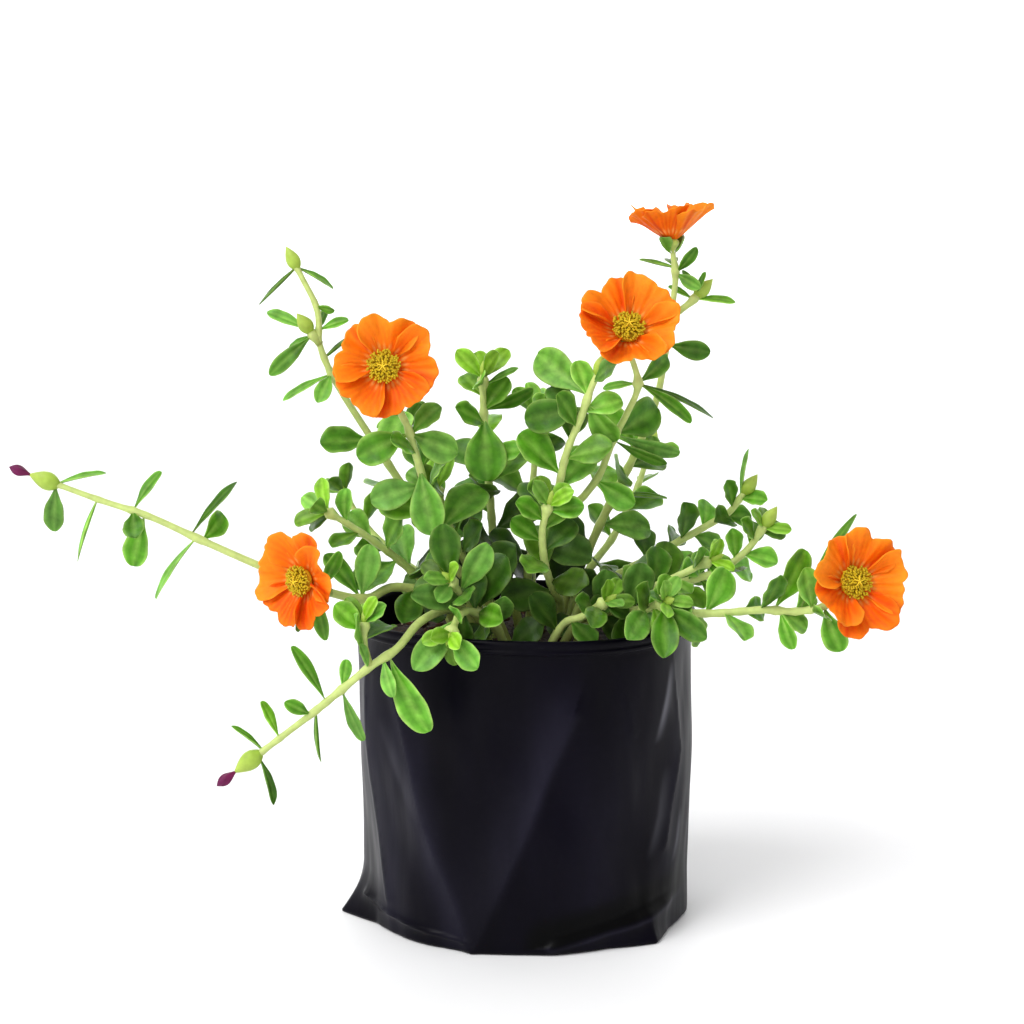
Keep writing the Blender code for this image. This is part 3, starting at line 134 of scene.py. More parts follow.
# Each stem: its foot in the soil (x, y) or the stem that it branches from, what it ends in, how many leaves
# the rule gives it and how long they are, the points that it climbs through, and the leaves that have a place
# of their own as (root, tip, width, turn of the face away from the viewer).
STEMS = [
    dict(name="far_left", foot=(-0.014, -0.007), end="spent",
         route=[(-0.022, -0.011, 0.104), (-0.041, -0.020, 0.112), (-0.051, -0.027, 0.1095),
                (-0.062, -0.030, 0.112), (-0.075, -0.031, 0.117), (-0.087, -0.031, 0.122),
                (-0.103, -0.030, 0.129), (-0.119, -0.028, 0.136), (-0.135, -0.026, 0.141),
                (-0.149, -0.025, 0.146)],
         own=[((-0.149, -0.025, 0.147), (-0.134, -0.022, 0.152), 0.0030, 60),
              ((-0.150, -0.025, 0.146), (-0.150, -0.027, 0.131), 0.0069, 10),
              ((-0.137, -0.026, 0.141), (-0.145, -0.030, 0.123), 0.0024, 75),
              ((-0.125, -0.027, 0.137), (-0.117, -0.024, 0.151), 0.0045, 40),
              ((-0.125, -0.027, 0.137), (-0.123, -0.036, 0.131), 0.0072, 0),
              ((-0.121, -0.028, 0.136), (-0.126, -0.026, 0.119), 0.0085, 10),
              ((-0.107, -0.029, 0.130), (-0.093, -0.032, 0.149), 0.0045, 55),
              ((-0.102, -0.030, 0.128), (-0.095, -0.022, 0.136), 0.0078, 20),
              ((-0.105, -0.030, 0.129), (-0.121, -0.033, 0.113), 0.0040, 60),
              ((-0.052, -0.027, 0.110), (-0.049, -0.031, 0.127), 0.0085, 15),
              ((-0.053, -0.028, 0.110), (-0.064, -0.020, 0.124), 0.0070, 30),
              ((-0.036, -0.018, 0.110), (-0.0375, -0.038, 0.1070), 0.0094, 5),
              ((-0.027, -0.013, 0.107), (-0.0290, -0.033, 0.1060), 0.0086, 5)]),
    dict(name="left_flower", on="far_left", end="flower",
         route=[(-0.062, -0.030, 0.112), (-0.066, -0.036, 0.1145)],
         own=[((-0.066, -0.036, 0.114), (-0.064, -0.039, 0.098), 0.0052, 20),
              ((-0.065, -0.036, 0.114), (-0.070, -0.041, 0.100), 0.0046, 40),
              ((-0.065, -0.035, 0.114), (-0.058, -0.040, 0.126), 0.0050, 25)]),
    dict(name="lower_left", foot=(-0.010, -0.018), end="spent",
         route=[(-0.016, -0.027, 0.104), (-0.024, -0.036, 0.108), (-0.033, -0.047, 0.106),
                (-0.040, -0.057, 0.0995), (-0.048, -0.062, 0.095), (-0.057, -0.064, 0.088),
                (-0.066, -0.066, 0.081), (-0.074, -0.067, 0.075), (-0.082, -0.068, 0.069)],
         own=[((-0.061, -0.065, 0.085), (-0.070, -0.068, 0.103), 0.0046, 40),
              ((-0.056, -0.064, 0.089), (-0.055, -0.058, 0.097), 0.0040, 10),
              ((-0.057, -0.064, 0.088), (-0.051, -0.066, 0.072), 0.0050, 30),
              ((-0.048, -0.062, 0.095), (-0.052, -0.065, 0.103), 0.0036, 50),
              ((-0.064, -0.065, 0.083), (-0.066, -0.063, 0.065), 0.0027, 75),
              ((-0.067, -0.066, 0.081), (-0.072, -0.073, 0.086), 0.0044, 20),
              ((-0.075, -0.067, 0.074), (-0.080, -0.069, 0.086), 0.0038, 45),
              ((-0.081, -0.068, 0.070), (-0.088, -0.071, 0.080), 0.0026, 70),
              ((-0.081, -0.068, 0.069), (-0.075, -0.065, 0.052), 0.0036, 50),
              ((-0.041, -0.060, 0.099), (-0.032, -0.066, 0.074), 0.0098, 15),
              ((-0.044, -0.060, 0.097), (-0.042, -0.067, 0.087), 0.0050, 20)]),
    dict(name="lower_left_side", on="lower_left", end="rosette", leaves=4, leaf=0.0150,
         route=[(-0.048, -0.062, 0.095), (-0.050, -0.060, 0.101), (-0.050, -0.058, 0.108)]),
    dict(name="left_mid", foot=(-0.020, 0.001), end="rosette", leaves=10, leaf=0.0180,
         route=[(-0.027, -0.003, 0.105), (-0.036, -0.008, 0.114), (-0.045, -0.015, 0.123),
                (-0.055, -0.020, 0.131), (-0.064, -0.022, 0.137)]),
    dict(name="upper_left", foot=(-0.012, 0.012), end="bud", leaves=5, leaf=0.0190, leafed=0.58,
         route=[(-0.018, 0.014, 0.104), (-0.029, 0.016, 0.121), (-0.042, 0.016, 0.141),
                (-0.053, 0.012, 0.159), (-0.060, 0.008, 0.171), (-0.064, 0.005, 0.179),
                (-0.067, 0.002, 0.188), (-0.067, 0.000, 0.195), (-0.068, 0.000, 0.201),
                (-0.072, 0.000, 0.209), (-0.074, 0.000, 0.213)],
         own=[((-0.075, 0.000, 0.212), (-0.087, -0.002, 0.202), 0.0025, 75),
              ((-0.074, 0.000, 0.212), (-0.061, 0.002, 0.208), 0.0031, 60),
              ((-0.068, 0.000, 0.201), (-0.062, -0.004, 0.199), 0.0031, 30),
              ((-0.068, 0.000, 0.193), (-0.058, -0.003, 0.197), 0.0038, 40),
              ((-0.065, 0.003, 0.184), (-0.057, 0.007, 0.192), 0.0025, 75),
              ((-0.063, 0.005, 0.177), (-0.080, 0.002, 0.171), 0.0038, 55),
              ((-0.063, 0.005, 0.177), (-0.067, -0.004, 0.171), 0.0056, 10)]),
    dict(name="upper_left_bud", on="upper_left", end="bud",
         route=[(-0.067, 0.002, 0.188), (-0.070, 0.000, 0.1925)],
         own=[((-0.070, 0.000, 0.192), (-0.082, -0.003, 0.202), 0.0045, 35),
              ((-0.069, 0.001, 0.192), (-0.064, 0.007, 0.200), 0.0035, 40),
              ((-0.070, 0.000, 0.191), (-0.083, -0.005, 0.179), 0.0054, 10),
              ((-0.069, 0.001, 0.190), (-0.079, 0.005, 0.187), 0.0031, 45)]),
    dict(name="left_top_flower", foot=(-0.004, -0.012), end="flower", leaves=12, leaf=0.0190,
         route=[(-0.012, -0.016, 0.106), (-0.024, -0.018, 0.120), (-0.030, -0.024, 0.138),
                (-0.034, -0.028, 0.153), (-0.037, -0.030, 0.164), (-0.040, -0.031, 0.171)],
         own=[((-0.037, -0.030, 0.163), (-0.053, -0.034, 0.156), 0.0105, 15),
              ((-0.037, -0.030, 0.163), (-0.022, -0.035, 0.157), 0.0105, 10),
              ((-0.032, -0.026, 0.147), (-0.049, -0.031, 0.142), 0.0100, 15),
              ((-0.033, -0.027, 0.151), (-0.030, -0.037, 0.132), 0.0112, 10)]),
    dict(name="centre", foot=(-0.001, 0.005), end="rosette", leaves=14, leaf=0.0200,
         route=[(-0.005, 0.006, 0.106), (-0.010, 0.006, 0.119), (-0.012, 0.006, 0.140),
                (-0.013, 0.005, 0.156), (-0.014, 0.004, 0.169), (-0.014, 0.003, 0.178)],
         own=[((-0.013, 0.004, 0.164), (-0.013, -0.006, 0.145), 0.0140, 5),
              ((-0.014, 0.004, 0.166), (0.003, 0.002, 0.171), 0.0060, 35),
              ((-0.014, 0.003, 0.174), (-0.003, 0.002, 0.181), 0.0030, 50)]),
    dict(name="right_of_centre", foot=(0.004, -0.006), end="bud", leaves=12, leaf=0.0190, first=0.38,
         route=[(0.001, -0.010, 0.106), (0.001, -0.012, 0.119), (0.006, -0.016, 0.131),
                (0.010, -0.018, 0.143), (0.013, -0.020, 0.156), (0.017, -0.021, 0.166),
                (0.020, -0.022, 0.175), (0.0225, -0.022, 0.181)],
         own=[((0.018, -0.021, 0.175), (0.002, -0.009, 0.187), 0.0115, 5),
              ((0.016, -0.020, 0.170), (-0.001, -0.022, 0.166), 0.0110, 10),
              ((0.016, -0.020, 0.167), (0.007, -0.012, 0.177), 0.0078, 20),
              ((0.019, -0.021, 0.171), (0.028, -0.020, 0.158), 0.0092, 25)]),
    dict(name="mid_flower", on="right_of_centre", end="flower",
         route=[(0.0085, -0.0172, 0.138), (0.016, -0.014, 0.1385), (0.020, -0.012, 0.142),
                (0.024, -0.012, 0.148), (0.028, -0.013, 0.159), (0.032, -0.014, 0.167),
                (0.0355, -0.015, 0.177)],
         own=[((0.035, -0.015, 0.176), (0.054, -0.019, 0.167), 0.0052, 40),
              ((0.035, -0.015, 0.176), (0.063, -0.009, 0.169), 0.0031, 60),
              ((0.035, -0.015, 0.177), (0.024, -0.012, 0.176), 0.0038, 50),
              ((0.036, -0.015, 0.177), (0.047, -0.004, 0.185), 0.0065, 10),
              ((0.030, -0.013, 0.160), (0.044, -0.004, 0.168), 0.0128, 10),
              ((0.030, -0.013, 0.159), (0.049, -0.003, 0.155), 0.0059, 25),
              ((0.029, -0.013, 0.158), (0.045, -0.012, 0.149), 0.0048, 35),
              ((0.022, -0.012, 0.146), (0.034, -0.018, 0.138), 0.0090, 15)]),
    dict(name="top_flower", foot=(0.010, 0.010), end="flower", leaves=6, leaf=0.0180, leafed=0.55,
         route=[(0.014, 0.013, 0.105), (0.020, 0.016, 0.116), (0.026, 0.017, 0.129),
                (0.030, 0.017, 0.137), (0.037, 0.016, 0.152), (0.043, 0.014, 0.168),
                (0.046, 0.012, 0.185), (0.048, 0.010, 0.201), (0.0487, 0.0085, 0.210)],
         own=[((0.049, 0.008, 0.212), (0.037, 0.006, 0.216), 0.0025, 70),
              ((0.049, 0.008, 0.211), (0.055, 0.001, 0.218), 0.0041, 20),
              ((0.049, 0.008, 0.211), (0.056, 0.004, 0.206), 0.0046, 10),
              ((0.049, 0.009, 0.212), (0.047, 0.018, 0.217), 0.0045, 10),
              ((0.046, 0.012, 0.188), (0.060, 0.008, 0.184), 0.0068, 10),
              ((0.030, 0.017, 0.136), (0.047, 0.014, 0.137), 0.0028, 70)]),
    dict(name="top_bud", on="top_flower", end="bud",
         route=[(0.0475, 0.0105, 0.196), (0.053, 0.012, 0.200), (0.056, 0.012, 0.203)],
         own=[((0.056, 0.012, 0.203), (0.052, 0.015, 0.212), 0.0028, 30),
              ((0.056, 0.012, 0.203), (0.060, 0.007, 0.211), 0.0028, 50),
              ((0.055, 0.012, 0.202), (0.047, 0.015, 0.207), 0.0028, 40),
              ((0.055, 0.012, 0.202), (0.069, 0.012, 0.203), 0.0038, 50)]),
    dict(name="right_upper", foot=(0.013, 0.001), end="bud", leaves=15, leaf=0.0150, slim=0.70,
         route=[(0.019, 0.008, 0.103), (0.028, 0.014, 0.108), (0.042, 0.018, 0.115),
                (0.055, 0.020, 0.122), (0.062, 0.020, 0.126), (0.068, 0.019, 0.130),
                (0.073, 0.018, 0.137)],
         own=[((0.072, 0.018, 0.135), (0.076, 0.015, 0.152), 0.0028, 65)]),
    dict(name="right_lower", foot=(0.015, -0.008), end="bud", leaves=18, leaf=0.0150, slim=0.72,
         route=[(0.022, -0.006, 0.102), (0.031, -0.004, 0.106), (0.047, -0.002, 0.109),
                (0.062, 0.000, 0.113), (0.072, 0.000, 0.120), (0.078, -0.001, 0.129)]),
    dict(name="right_flower", foot=(0.009, -0.018), end="flower", leaves=14, leaf=0.0145, slim=0.70,
         route=[(0.017, -0.021, 0.101), (0.027, -0.025, 0.105), (0.042, -0.032, 0.1065),
                (0.058, -0.036, 0.1065), (0.074, -0.038, 0.108), (0.085, -0.038, 0.1075),
                (0.094, -0.040, 0.110)],
         own=[((0.080, -0.037, 0.108), (0.083, -0.042, 0.096), 0.0056, 20),
              ((0.093, -0.039, 0.109), (0.098, -0.043, 0.095), 0.0082, 15),
              ((0.086, -0.038, 0.109), (0.101, -0.030, 0.140), 0.0040, 50),
              ((0.077, -0.038, 0.108), (0.089, -0.032, 0.126), 0.0095, 20),
              ((0.090, -0.039, 0.109), (0.087, -0.048, 0.122), 0.0078, 15)]),
    dict(name="front_right", on="right_flower", end="rosette", leaves=7, leaf=0.0145, slim=0.66,
         route=[(0.027, -0.025, 0.105), (0.036, -0.035, 0.1075), (0.043, -0.043, 0.1115)],
         own=[((0.043, -0.043, 0.111), (0.0424, -0.059, 0.0990), 0.0088, 5),
              ((0.042, -0.042, 0.111), (0.0545, -0.053, 0.1020), 0.0082, 10),
              ((0.037, -0.036, 0.108), (0.0300, -0.058, 0.1010), 0.0086, 10)]),
    dict(name="front_mid", foot=(0.004, -0.027), end="rosette", leaves=5, leaf=0.0150, slim=0.62, first=0.55,
         route=[(0.011, -0.030, 0.101), (0.018, -0.033, 0.105), (0.025, -0.037, 0.1105)],
         own=[((0.022, -0.035, 0.108), (0.0195, -0.053, 0.1040), 0.0076, 10)]),
    dict(name="front_left", foot=(-0.004, -0.027), end="rosette", leaves=7, leaf=0.0160,
         route=[(-0.010, -0.033, 0.102), (-0.017, -0.041, 0.108), (-0.021, -0.050, 0.1085),
                (-0.0235, -0.057, 0.104)],
         own=[((-0.021, -0.050, 0.108), (-0.034, -0.063, 0.095), 0.0092, 15),
              ((-0.010, -0.033, 0.102), (-0.007, -0.050, 0.113), 0.0080, 20),
              ((-0.015, -0.038, 0.106), (-0.0085, -0.057, 0.1010), 0.0086, 10),
              ((-0.0235, -0.057, 0.104), (-0.0160, -0.067, 0.0960), 0.0080, 10)]),
    dict(name="front_left_upper", on="front_left", end="rosette", leaves=5, leaf=0.0175,
         route=[(-0.010, -0.033, 0.102), (-0.018, -0.037, 0.110), (-0.024, -0.042, 0.118)],
         own=[((-0.018, -0.037, 0.110), (-0.038, -0.047, 0.114), 0.0085, 25),
              ((-0.024, -0.042, 0.118), (-0.026, -0.047, 0.136), 0.0100, 5),
              ((-0.021, -0.040, 0.114), (-0.012, -0.047, 0.129), 0.0088, 10)]),
    dict(name="centre_front", foot=(0.011, -0.002), end="rosette", leaves=10, leaf=0.0170, first=0.47,
         route=[(0.011, -0.009, 0.104), (0.009, -0.018, 0.110), (0.006, -0.026, 0.120),
                (0.005, -0.031, 0.132), (0.007, -0.033, 0.141)]),
    dict(name="centre_left", foot=(-0.009, -0.001), end="rosette", leaves=11, leaf=0.0190,
         route=[(-0.012, -0.003, 0.104), (-0.018, -0.006, 0.114), (-0.024, -0.009, 0.128),
                (-0.029, -0.010, 0.143)]),
    dict(name="right_middle", foot=(0.016, -0.015), end="rosette", leaves=10, leaf=0.0145, slim=0.70,
         route=[(0.021, -0.017, 0.101), (0.033, -0.020, 0.1085), (0.047, -0.021, 0.115),
                (0.059, -0.022, 0.121)]),
    dict(name="back_left", foot=(-0.010, 0.022), end="rosette", leaves=5, leaf=0.0180,
         route=[(-0.018, 0.027, 0.106), (-0.028, 0.034, 0.120), (-0.036, 0.040, 0.138),
                (-0.040, 0.044, 0.156)]),
    dict(name="back_right", foot=(0.011, 0.020), end="bud", leaves=6, leaf=0.0175,
         route=[(0.020, 0.030, 0.106), (0.030, 0.040, 0.118), (0.038, 0.046, 0.133),
                (0.043, 0.050, 0.147)]),
    dict(name="back_centre", foot=(0.001, 0.015), end="rosette", leaves=5, leaf=0.0200,
         route=[(0.002, 0.022, 0.108), (0.001, 0.028, 0.124), (0.003, 0.031, 0.144),
                (0.004, 0.032, 0.162)]),
    dict(name="back_trailing", foot=(0.001, 0.027), end="bud", leaves=6, leaf=0.0160,
         route=[(0.002, 0.037, 0.103), (-0.001, 0.050, 0.109), (-0.006, 0.064, 0.109),
                (-0.013, 0.078, 0.102), (-0.020, 0.090, 0.094)]),
    dict(name="left_back", foot=(-0.022, 0.013), end="rosette", leaves=5, leaf=0.0170,
         route=[(-0.031, 0.021, 0.104), (-0.043, 0.028, 0.113), (-0.055, 0.033, 0.124),
                (-0.062, 0.035, 0.135)]),
]

# Each flower: its middle, the way that it faces, its radius, how deep it cups and its turn
FLOWERS = {
    "left_flower": dict(at=(-0.0718, -0.046, 0.1185), facing=(-0.60, -0.78, -0.02), radius=0.0152,
                        cup=0.46, turn=20),
    "left_top_flower": dict(at=(-0.0443, -0.040, 0.1850), facing=(-0.06, -0.97, 0.16), radius=0.0166,
                            cup=0.38, turn=12),
    "mid_flower": dict(at=(0.0322, -0.026, 0.1975), facing=(0.06, -0.80, 0.60), radius=0.0164,
                       cup=0.60, turn=54),
    "top_flower": dict(at=(0.0467, 0.007, 0.2286), facing=(-0.08, 0.06, 1.00), radius=0.0136,
                       cup=0.84, turn=40),
    "right_flower": dict(at=(0.1030, -0.046, 0.1185), facing=(0.30, -0.90, 0.26), radius=0.0166,
                         cup=0.50, turn=0),
}


# Lines and directions

def around(count):
    """Even angles round a circle."""
    return [math.tau * i / count for i in range(count)]


def curve_through(points, spacing):
    """A smooth line through the points, cut into steps of about the spacing."""
    knots = [2 * points[0] - points[1], *points, 2 * points[-1] - points[-2]]
    fine = []
    for a, b, c, d in zip(knots, knots[1:], knots[2:], knots[3:]):
        for step in range(8):
            t = step / 8
            fine.append(0.5 * (2 * b + (c - a) * t + (2 * a - 5 * b + 4 * c - d) * t * t
                               + (3 * b - a - 3 * c + d) * t * t * t))
    fine.append(points[-1])
    run = [0.0]
    for a, b in zip(fine, fine[1:]):
        run.append(run[-1] + (b - a).length)
    steps = max(2, round(run[-1] / spacing))
    line, place = [], 0
    for step in range(steps + 1):
        target = run[-1] * step / steps
        while place < len(fine) - 2 and run[place + 1] < target:
            place += 1
        share = (target - run[place]) / max(run[place + 1] - run[place], 1e-9)
        line.append(fine[place].lerp(fine[place + 1], min(1.0, share)))
    return line


def tangent(line, t):
    """Place and direction at a share t of an even line."""
    spot = t * (len(line) - 1)
    i = min(int(spot), len(line) - 2)
    return line[i].lerp(line[i + 1], spot - i), (line[i + 1] - line[i]).normalized()


def across(direction, towards):
    """The part of one direction that stands square to another, as a unit."""
    flat = towards - direction * towards.dot(direction)
    if flat.length < 1e-4:
        flat = direction.orthogonal()
    return flat.normalized()


def axes_about(along):
    """Two axes square to a stem's or a bud's line."""
    u = across(along, UP + TOWARDS_VIEWER * 0.3)
    return u, along.cross(u)


# Flowers and ends

def facing_of(flower):
    return Vector(flower["facing"]).normalized()


def flower_frame(flower):
    """The flower's own axes: two in its plane and its facing."""
    face = facing_of(flower)
    right = across(face, Vector((1, 0, 0)))
    return right, face.cross(right), face


def flower_base(flower):
    """The middle of the bowl's underside, on the calyx."""
    depth = flower["radius"] * flower["cup"] * 0.55 + 0.002
    return Vector(flower["at"]) - facing_of(flower) * depth


def petal_point(flower, petal, side, out):
    """A point of a petal: side across it from -1 to 1, out from its base at 0 to its edge at 1."""
    right, over, face = flower_frame(flower)
    radius = flower["radius"]
    chance = random.Random(FLOWER_SEED + petal + int(flower["turn"]) * 7)
    size = chance.uniform(*PETAL_SIZES)
    lift = chance.uniform(*PETAL_LIFTS)
    wave = chance.uniform(0, math.tau)
    lean = chance.uniform(*PETAL_LEANS)
    notch = chance.uniform(*PETAL_NOTCHES)
    base = PETAL_BASE * radius
    lobes = 1 - notch + notch * abs(math.sin(math.pi * side)) ** 0.7
    shoulder = 1 - 0.30 * (max(0.0, abs(side) - PETAL_SHOULDER) / (1 - PETAL_SHOULDER)) ** 2
    reach = base + (radius * size * lobes * shoulder - base) * out
    spread = PETAL_HALF_ANGLE * (PETAL_NECK + (1 - PETAL_NECK) * out)
    angle = math.radians(flower["turn"]) + math.tau * petal / PETALS + side * spread + lean * out
    height = (flower["cup"] + lift) * radius * (out ** 1.3 - 0.16 * out ** 4)
    height += PETAL_LAP * radius * side * out
    loose = radius * out ** 2 * (1 - side * side)
    height += PETAL_WAVE * loose * math.cos(math.tau * side + 0.6 * math.sin(wave))
    height += PETAL_RIPPLE * loose * math.sin(3 * math.pi * side + wave)
    return flower_base(flower) + right * (reach * math.cos(angle)) + over * (reach * math.sin(angle)) \
        + face * (CALYX_GAP_HEIGHT + height)


def calyx_of(flower):
    """The green cup that carries a flower."""
    face = facing_of(flower)
    return dict(root=flower_base(flower) - face * CALYX_LENGTH, along=face, length=CALYX_LENGTH,
                radius=CALYX_RADIUS, belly=2.6)


def bud_of(stem):
    """The bud that a stem ends in, as a closed drop along the stem's end."""
    point, along = tangent(stem["line"], 1.0)
    size = BUD_SIZES[stem["end"]]
    return dict(root=point - along * BUD_LENGTH * BUD_SINK * size, along=along,
                length=BUD_LENGTH * (1 + BUD_SINK) * size, radius=BUD_RADIUS * size)


# Stems and leaves

def route_of(stem):
    """The stem's points, from its root in the soil or its fork to its end."""
    points = [Vector(point) for point in stem["route"]]
    if "foot" in stem:
        x, y = stem["foot"]
        points = [Vector((x, y, SOIL_LEVEL - depth)) for depth in (ROOT_DEPTH, NECK_DEPTH)] + points
    if stem["end"] == "flower":
        flower = FLOWERS[stem["name"]]
        points.append(flower_base(flower) - facing_of(flower) * CALYX_LENGTH * 0.8)
    return points


def stem_radius(stem, t):
    """A stem tapers from its foot to its tip, and a branch starts thinner."""
    base = STEM_BASE_RADIUS if "foot" in stem else BRANCH_BASE_RADIUS
    return base + (STEM_TIP_RADIUS - base) * t


def leaf_width(u):
    """Half width of a leaf at a share u of its length, from 0 to 1: a short stalk, then a spoon."""
    spoon = abs(math.sin(math.pi * u ** 1.9)) ** 0.52 * min(1.0, u / 0.42) ** 0.7
    return 0.09 * math.sin(math.pi * u) + 0.93 * spoon


def leaf_point(leaf, u, side, lift, grow=0.0):
    """A point on the leaf: u along it, side across it and lift through it, each side from -1 to 1."""
    length, bend = leaf["length"], leaf["bend"]
    forward, face = leaf["direction"], leaf["normal"]
    square = forward.cross(face)
    spine = leaf["root"] + forward * (length * math.sin(bend * u) / bend) \
        - face * (length * (1 - math.cos(bend * u)) / bend)
    out = face * math.cos(bend * u) + forward * math.sin(bend * u)
    half = leaf["width"] / 2 * leaf_width(u) + grow
    thick = LEAF_THICKNESS / 2 * (0.55 + 0.45 * math.sin(math.pi * u)) + grow
    fold = leaf["fold"] * abs(side) ** 1.5 * half
    return spine + square * (side * half) + out * (lift * thick + fold)


def drawn(form, chance):
    """A leaf's bend, fold and age, drawn from their ranges."""
    return {name: chance.uniform(*limits) for name, limits in form.items()}


def own_leaf(stem, row, chance):
    """A leaf with a place of its own, hung on the nearest point of its stem."""
    root, tip, width, degrees = row
    root, tip, turn = Vector(root), Vector(tip), math.radians(degrees)
    root = min(stem["line"], key=lambda point: (point - root).length)
    direction = (tip - root).normalized()
    root = root - direction * ROOT_SINK
    flat = across(direction, TOWARDS_VIEWER)
    side = direction.cross(flat)
    normal = flat * math.cos(turn) + side * math.sin(turn)
    if normal.z < 0 and degrees > 35:
        normal = flat * math.cos(turn) - side * math.sin(turn)
    return dict(root=root, direction=direction, normal=normal, length=(tip - root).length, width=width,
                **drawn(OWN_FORM, chance))


def spread_leaf(root, along, azimuth, pitch, length, chance, slim):
    """A leaf at an angle round its stem and away from it, with its face up and out of the plant."""
    u, v = axes_about(along)
    outward = u * math.cos(azimuth) + v * math.sin(azimuth)
    direction = (along * math.cos(pitch) + outward * math.sin(pitch)).normalized()
    outside = Vector((root.x * SIDE_TURN, -1 if root.y < BACK_FROM else 1, 0)).normalized()
    normal = across(direction, along * 0.4 + UP * 0.45 + outside)
    return dict(root=root - direction * ROOT_SINK, direction=direction, normal=normal, length=length,
                width=length * slim, **drawn(RULE_FORM, chance))


def rule_leaf(stem, index, chance):
    """A leaf of the rule: a golden angle round the stem from the last, opener below than at the tip."""
    share = index / max(stem["leaves"] - 1, 1)
    first = stem.get("first", FIRST_ON_STEM if "foot" in stem else FIRST_ON_BRANCH)
    last = stem.get("leafed", LAST_LEAF)
    t = first + (last - first) * share ** 0.85
    root, along = tangent(stem["line"], t)
    azimuth = index * GOLDEN_ANGLE + chance.uniform(-0.3, 0.3)
    size = stem["leaf"] * (1.08 - 0.42 * max(0.0, t - 0.55) / 0.45) * chance.uniform(*LEAF_SIZES)
    pitch = LOW_PITCH - PITCH_FALL * t
    return spread_leaf(root, along, azimuth, pitch, size, chance, stem.get("slim", LEAF_SLIM))


def crown_leaves(stem, chance):
    """The small leaves round a rosette's growing tip, or under a bud that has no leaves of its own."""
    rosette = stem["end"] == "rosette"
    if stem.get("own") and not rosette:
        return []
    root, along = tangent(stem["line"], CROWN_AT)
    pitch = ROSETTE_PITCH if rosette else BUD_PITCH
    size = stem["leaf"] * CROWN_SIZE
    leaves = [spread_leaf(root, along, angle + 0.4, pitch, size, chance, CROWN_SLIM)
              for angle in around(CROWN_LEAVES[stem["end"]])]
    return [dict(leaf, age=CROWN_AGE) for leaf in leaves]


def wanted_leaves(chance):
    """Every leaf that is asked for, with its stem: those with a place of their own come first."""
    own = [(stem, own_leaf(stem, row, chance)) for stem in STEMS for row in stem.get("own", [])]
    crowns = [(stem, leaf) for stem in STEMS for leaf in crown_leaves(stem, chance)]
    ruled = [(stem, rule_leaf(stem, i, chance)) for stem in STEMS for i in range(stem.get("leaves", 0))]
    return own + crowns + ruled


# Room for the leaves: plain shapes that are tested for crossings

def loft_cage(rings):
    """Skins rings of as many points each."""
    cage = bmesh.new()
    loops = [[cage.verts.new(point) for point in ring] for ring in rings]
    for lower, upper in zip(loops, loops[1:]):
        for i in range(len(lower)):
            j = (i + 1) % len(lower)
            cage.faces.new((lower[i], lower[j], upper[j], upper[i]))
    return cage


def ball_cage(segments, place):
    """A ball of a few segments, with each of its points moved to the place that a function gives it."""
    ball = bmesh.new()
    bmesh.ops.create_uvsphere(ball, u_segments=segments, v_segments=segments, radius=1)
    for vert in ball.verts:
        reach = math.hypot(vert.co.x, vert.co.y)
        x, y = (vert.co.x / reach, vert.co.y / reach) if reach > 1e-4 else (0.0, 0.0)
        vert.co = place(x, y, (1 - vert.co.z) / 2)
    bmesh.ops.recalc_face_normals(ball, faces=ball.faces)
    return ball


def leaf_cage(leaf):
    """A leaf beyond its stalk, with a keel below and its face above."""
    start = min(LONGEST_STALK, STALK / leaf["length"])
    widest = math.cos(math.pi / 6)
    return ball_cage(3, lambda x, y, s: leaf_point(leaf, start + (1 - start) * s, y / widest, -x, CLEARANCE))


def drop_cage(drop):
    """A pointed drop: a bud, or the swollen calyx under a flower."""
    along = drop["along"]
    u, v = axes_about(along)

    def place(x, y, s):
        swell = math.sin(math.pi * s ** drop.get("belly", BUD_BELLY)) if 0 < s < 1 else 0.0
        r = (drop["radius"] + CLEARANCE) * swell
        return drop["root"] + along * (drop["length"] * s) + u * (x * r) + v * (y * r)

    return ball_cage(4, place)


def tube_cage(stem):
    """A stem's tube."""
    line = curve_through(route_of(stem), TUBE_STEP)
    rings = []
    for i, point in enumerate(line):
        t = i / (len(line) - 1)
        u, v = axes_about(tangent(line, t)[1])
        radius = stem_radius(stem, t) + CLEARANCE
        rings.append([point + u * (radius * math.cos(a)) + v * (radius * math.sin(a))
                      for a in around(TUBE_SIDES)])
    return loft_cage(rings)


def petal_cage(flower, petal):
    """One petal as an open sheet, split into triangles."""
    sheet = bmesh.new()
    bmesh.ops.create_grid(sheet, x_segments=6, y_segments=4, size=1)
    for vert in sheet.verts:
        vert.co = petal_point(flower, petal, vert.co.x, (vert.co.y + 1) / 2)
    bmesh.ops.triangulate(sheet, faces=sheet.faces, quad_method="FIXED")
    return sheet


def bag_cage(floor):
    """The soil's top, the rim and the wall, as the leaves have to clear them."""
    hem = BAG_RADIUS + RIM_FLARE + 0.0020
    top = BAG_HEIGHT + RIM_CLEARANCE
    profile = [(0.001, floor), (BAG_RADIUS - 0.0065, floor), (BAG_RADIUS - 0.0025, top), (hem, top),
               (hem, 0.001), (hem + 0.0015, 0.0)]
    return loft_cage([[Vector((radius * math.cos(a), radius * math.sin(a), height))
                       for a in around(GUARD_SEGMENTS)] for radius, height in profile])


def tree_of(cage):
    """What the crossing tests need of a mesh: its tree and its box."""
    points = [v.co.copy() for v in cage.verts]
    low = Vector([min(p[i] for p in points) for i in range(3)])
    high = Vector([max(p[i] for p in points) for i in range(3)])
    tree = BVHTree.FromBMesh(cage)
    cage.free()
    return tree, low, high


def crosses(shape, others):
    tree, low, high = shape
    for other, other_low, other_high in others:
        apart = any(low[i] > other_high[i] or high[i] < other_low[i] for i in range(3))
        if not apart and tree.overlap(other):
            return True
    return False


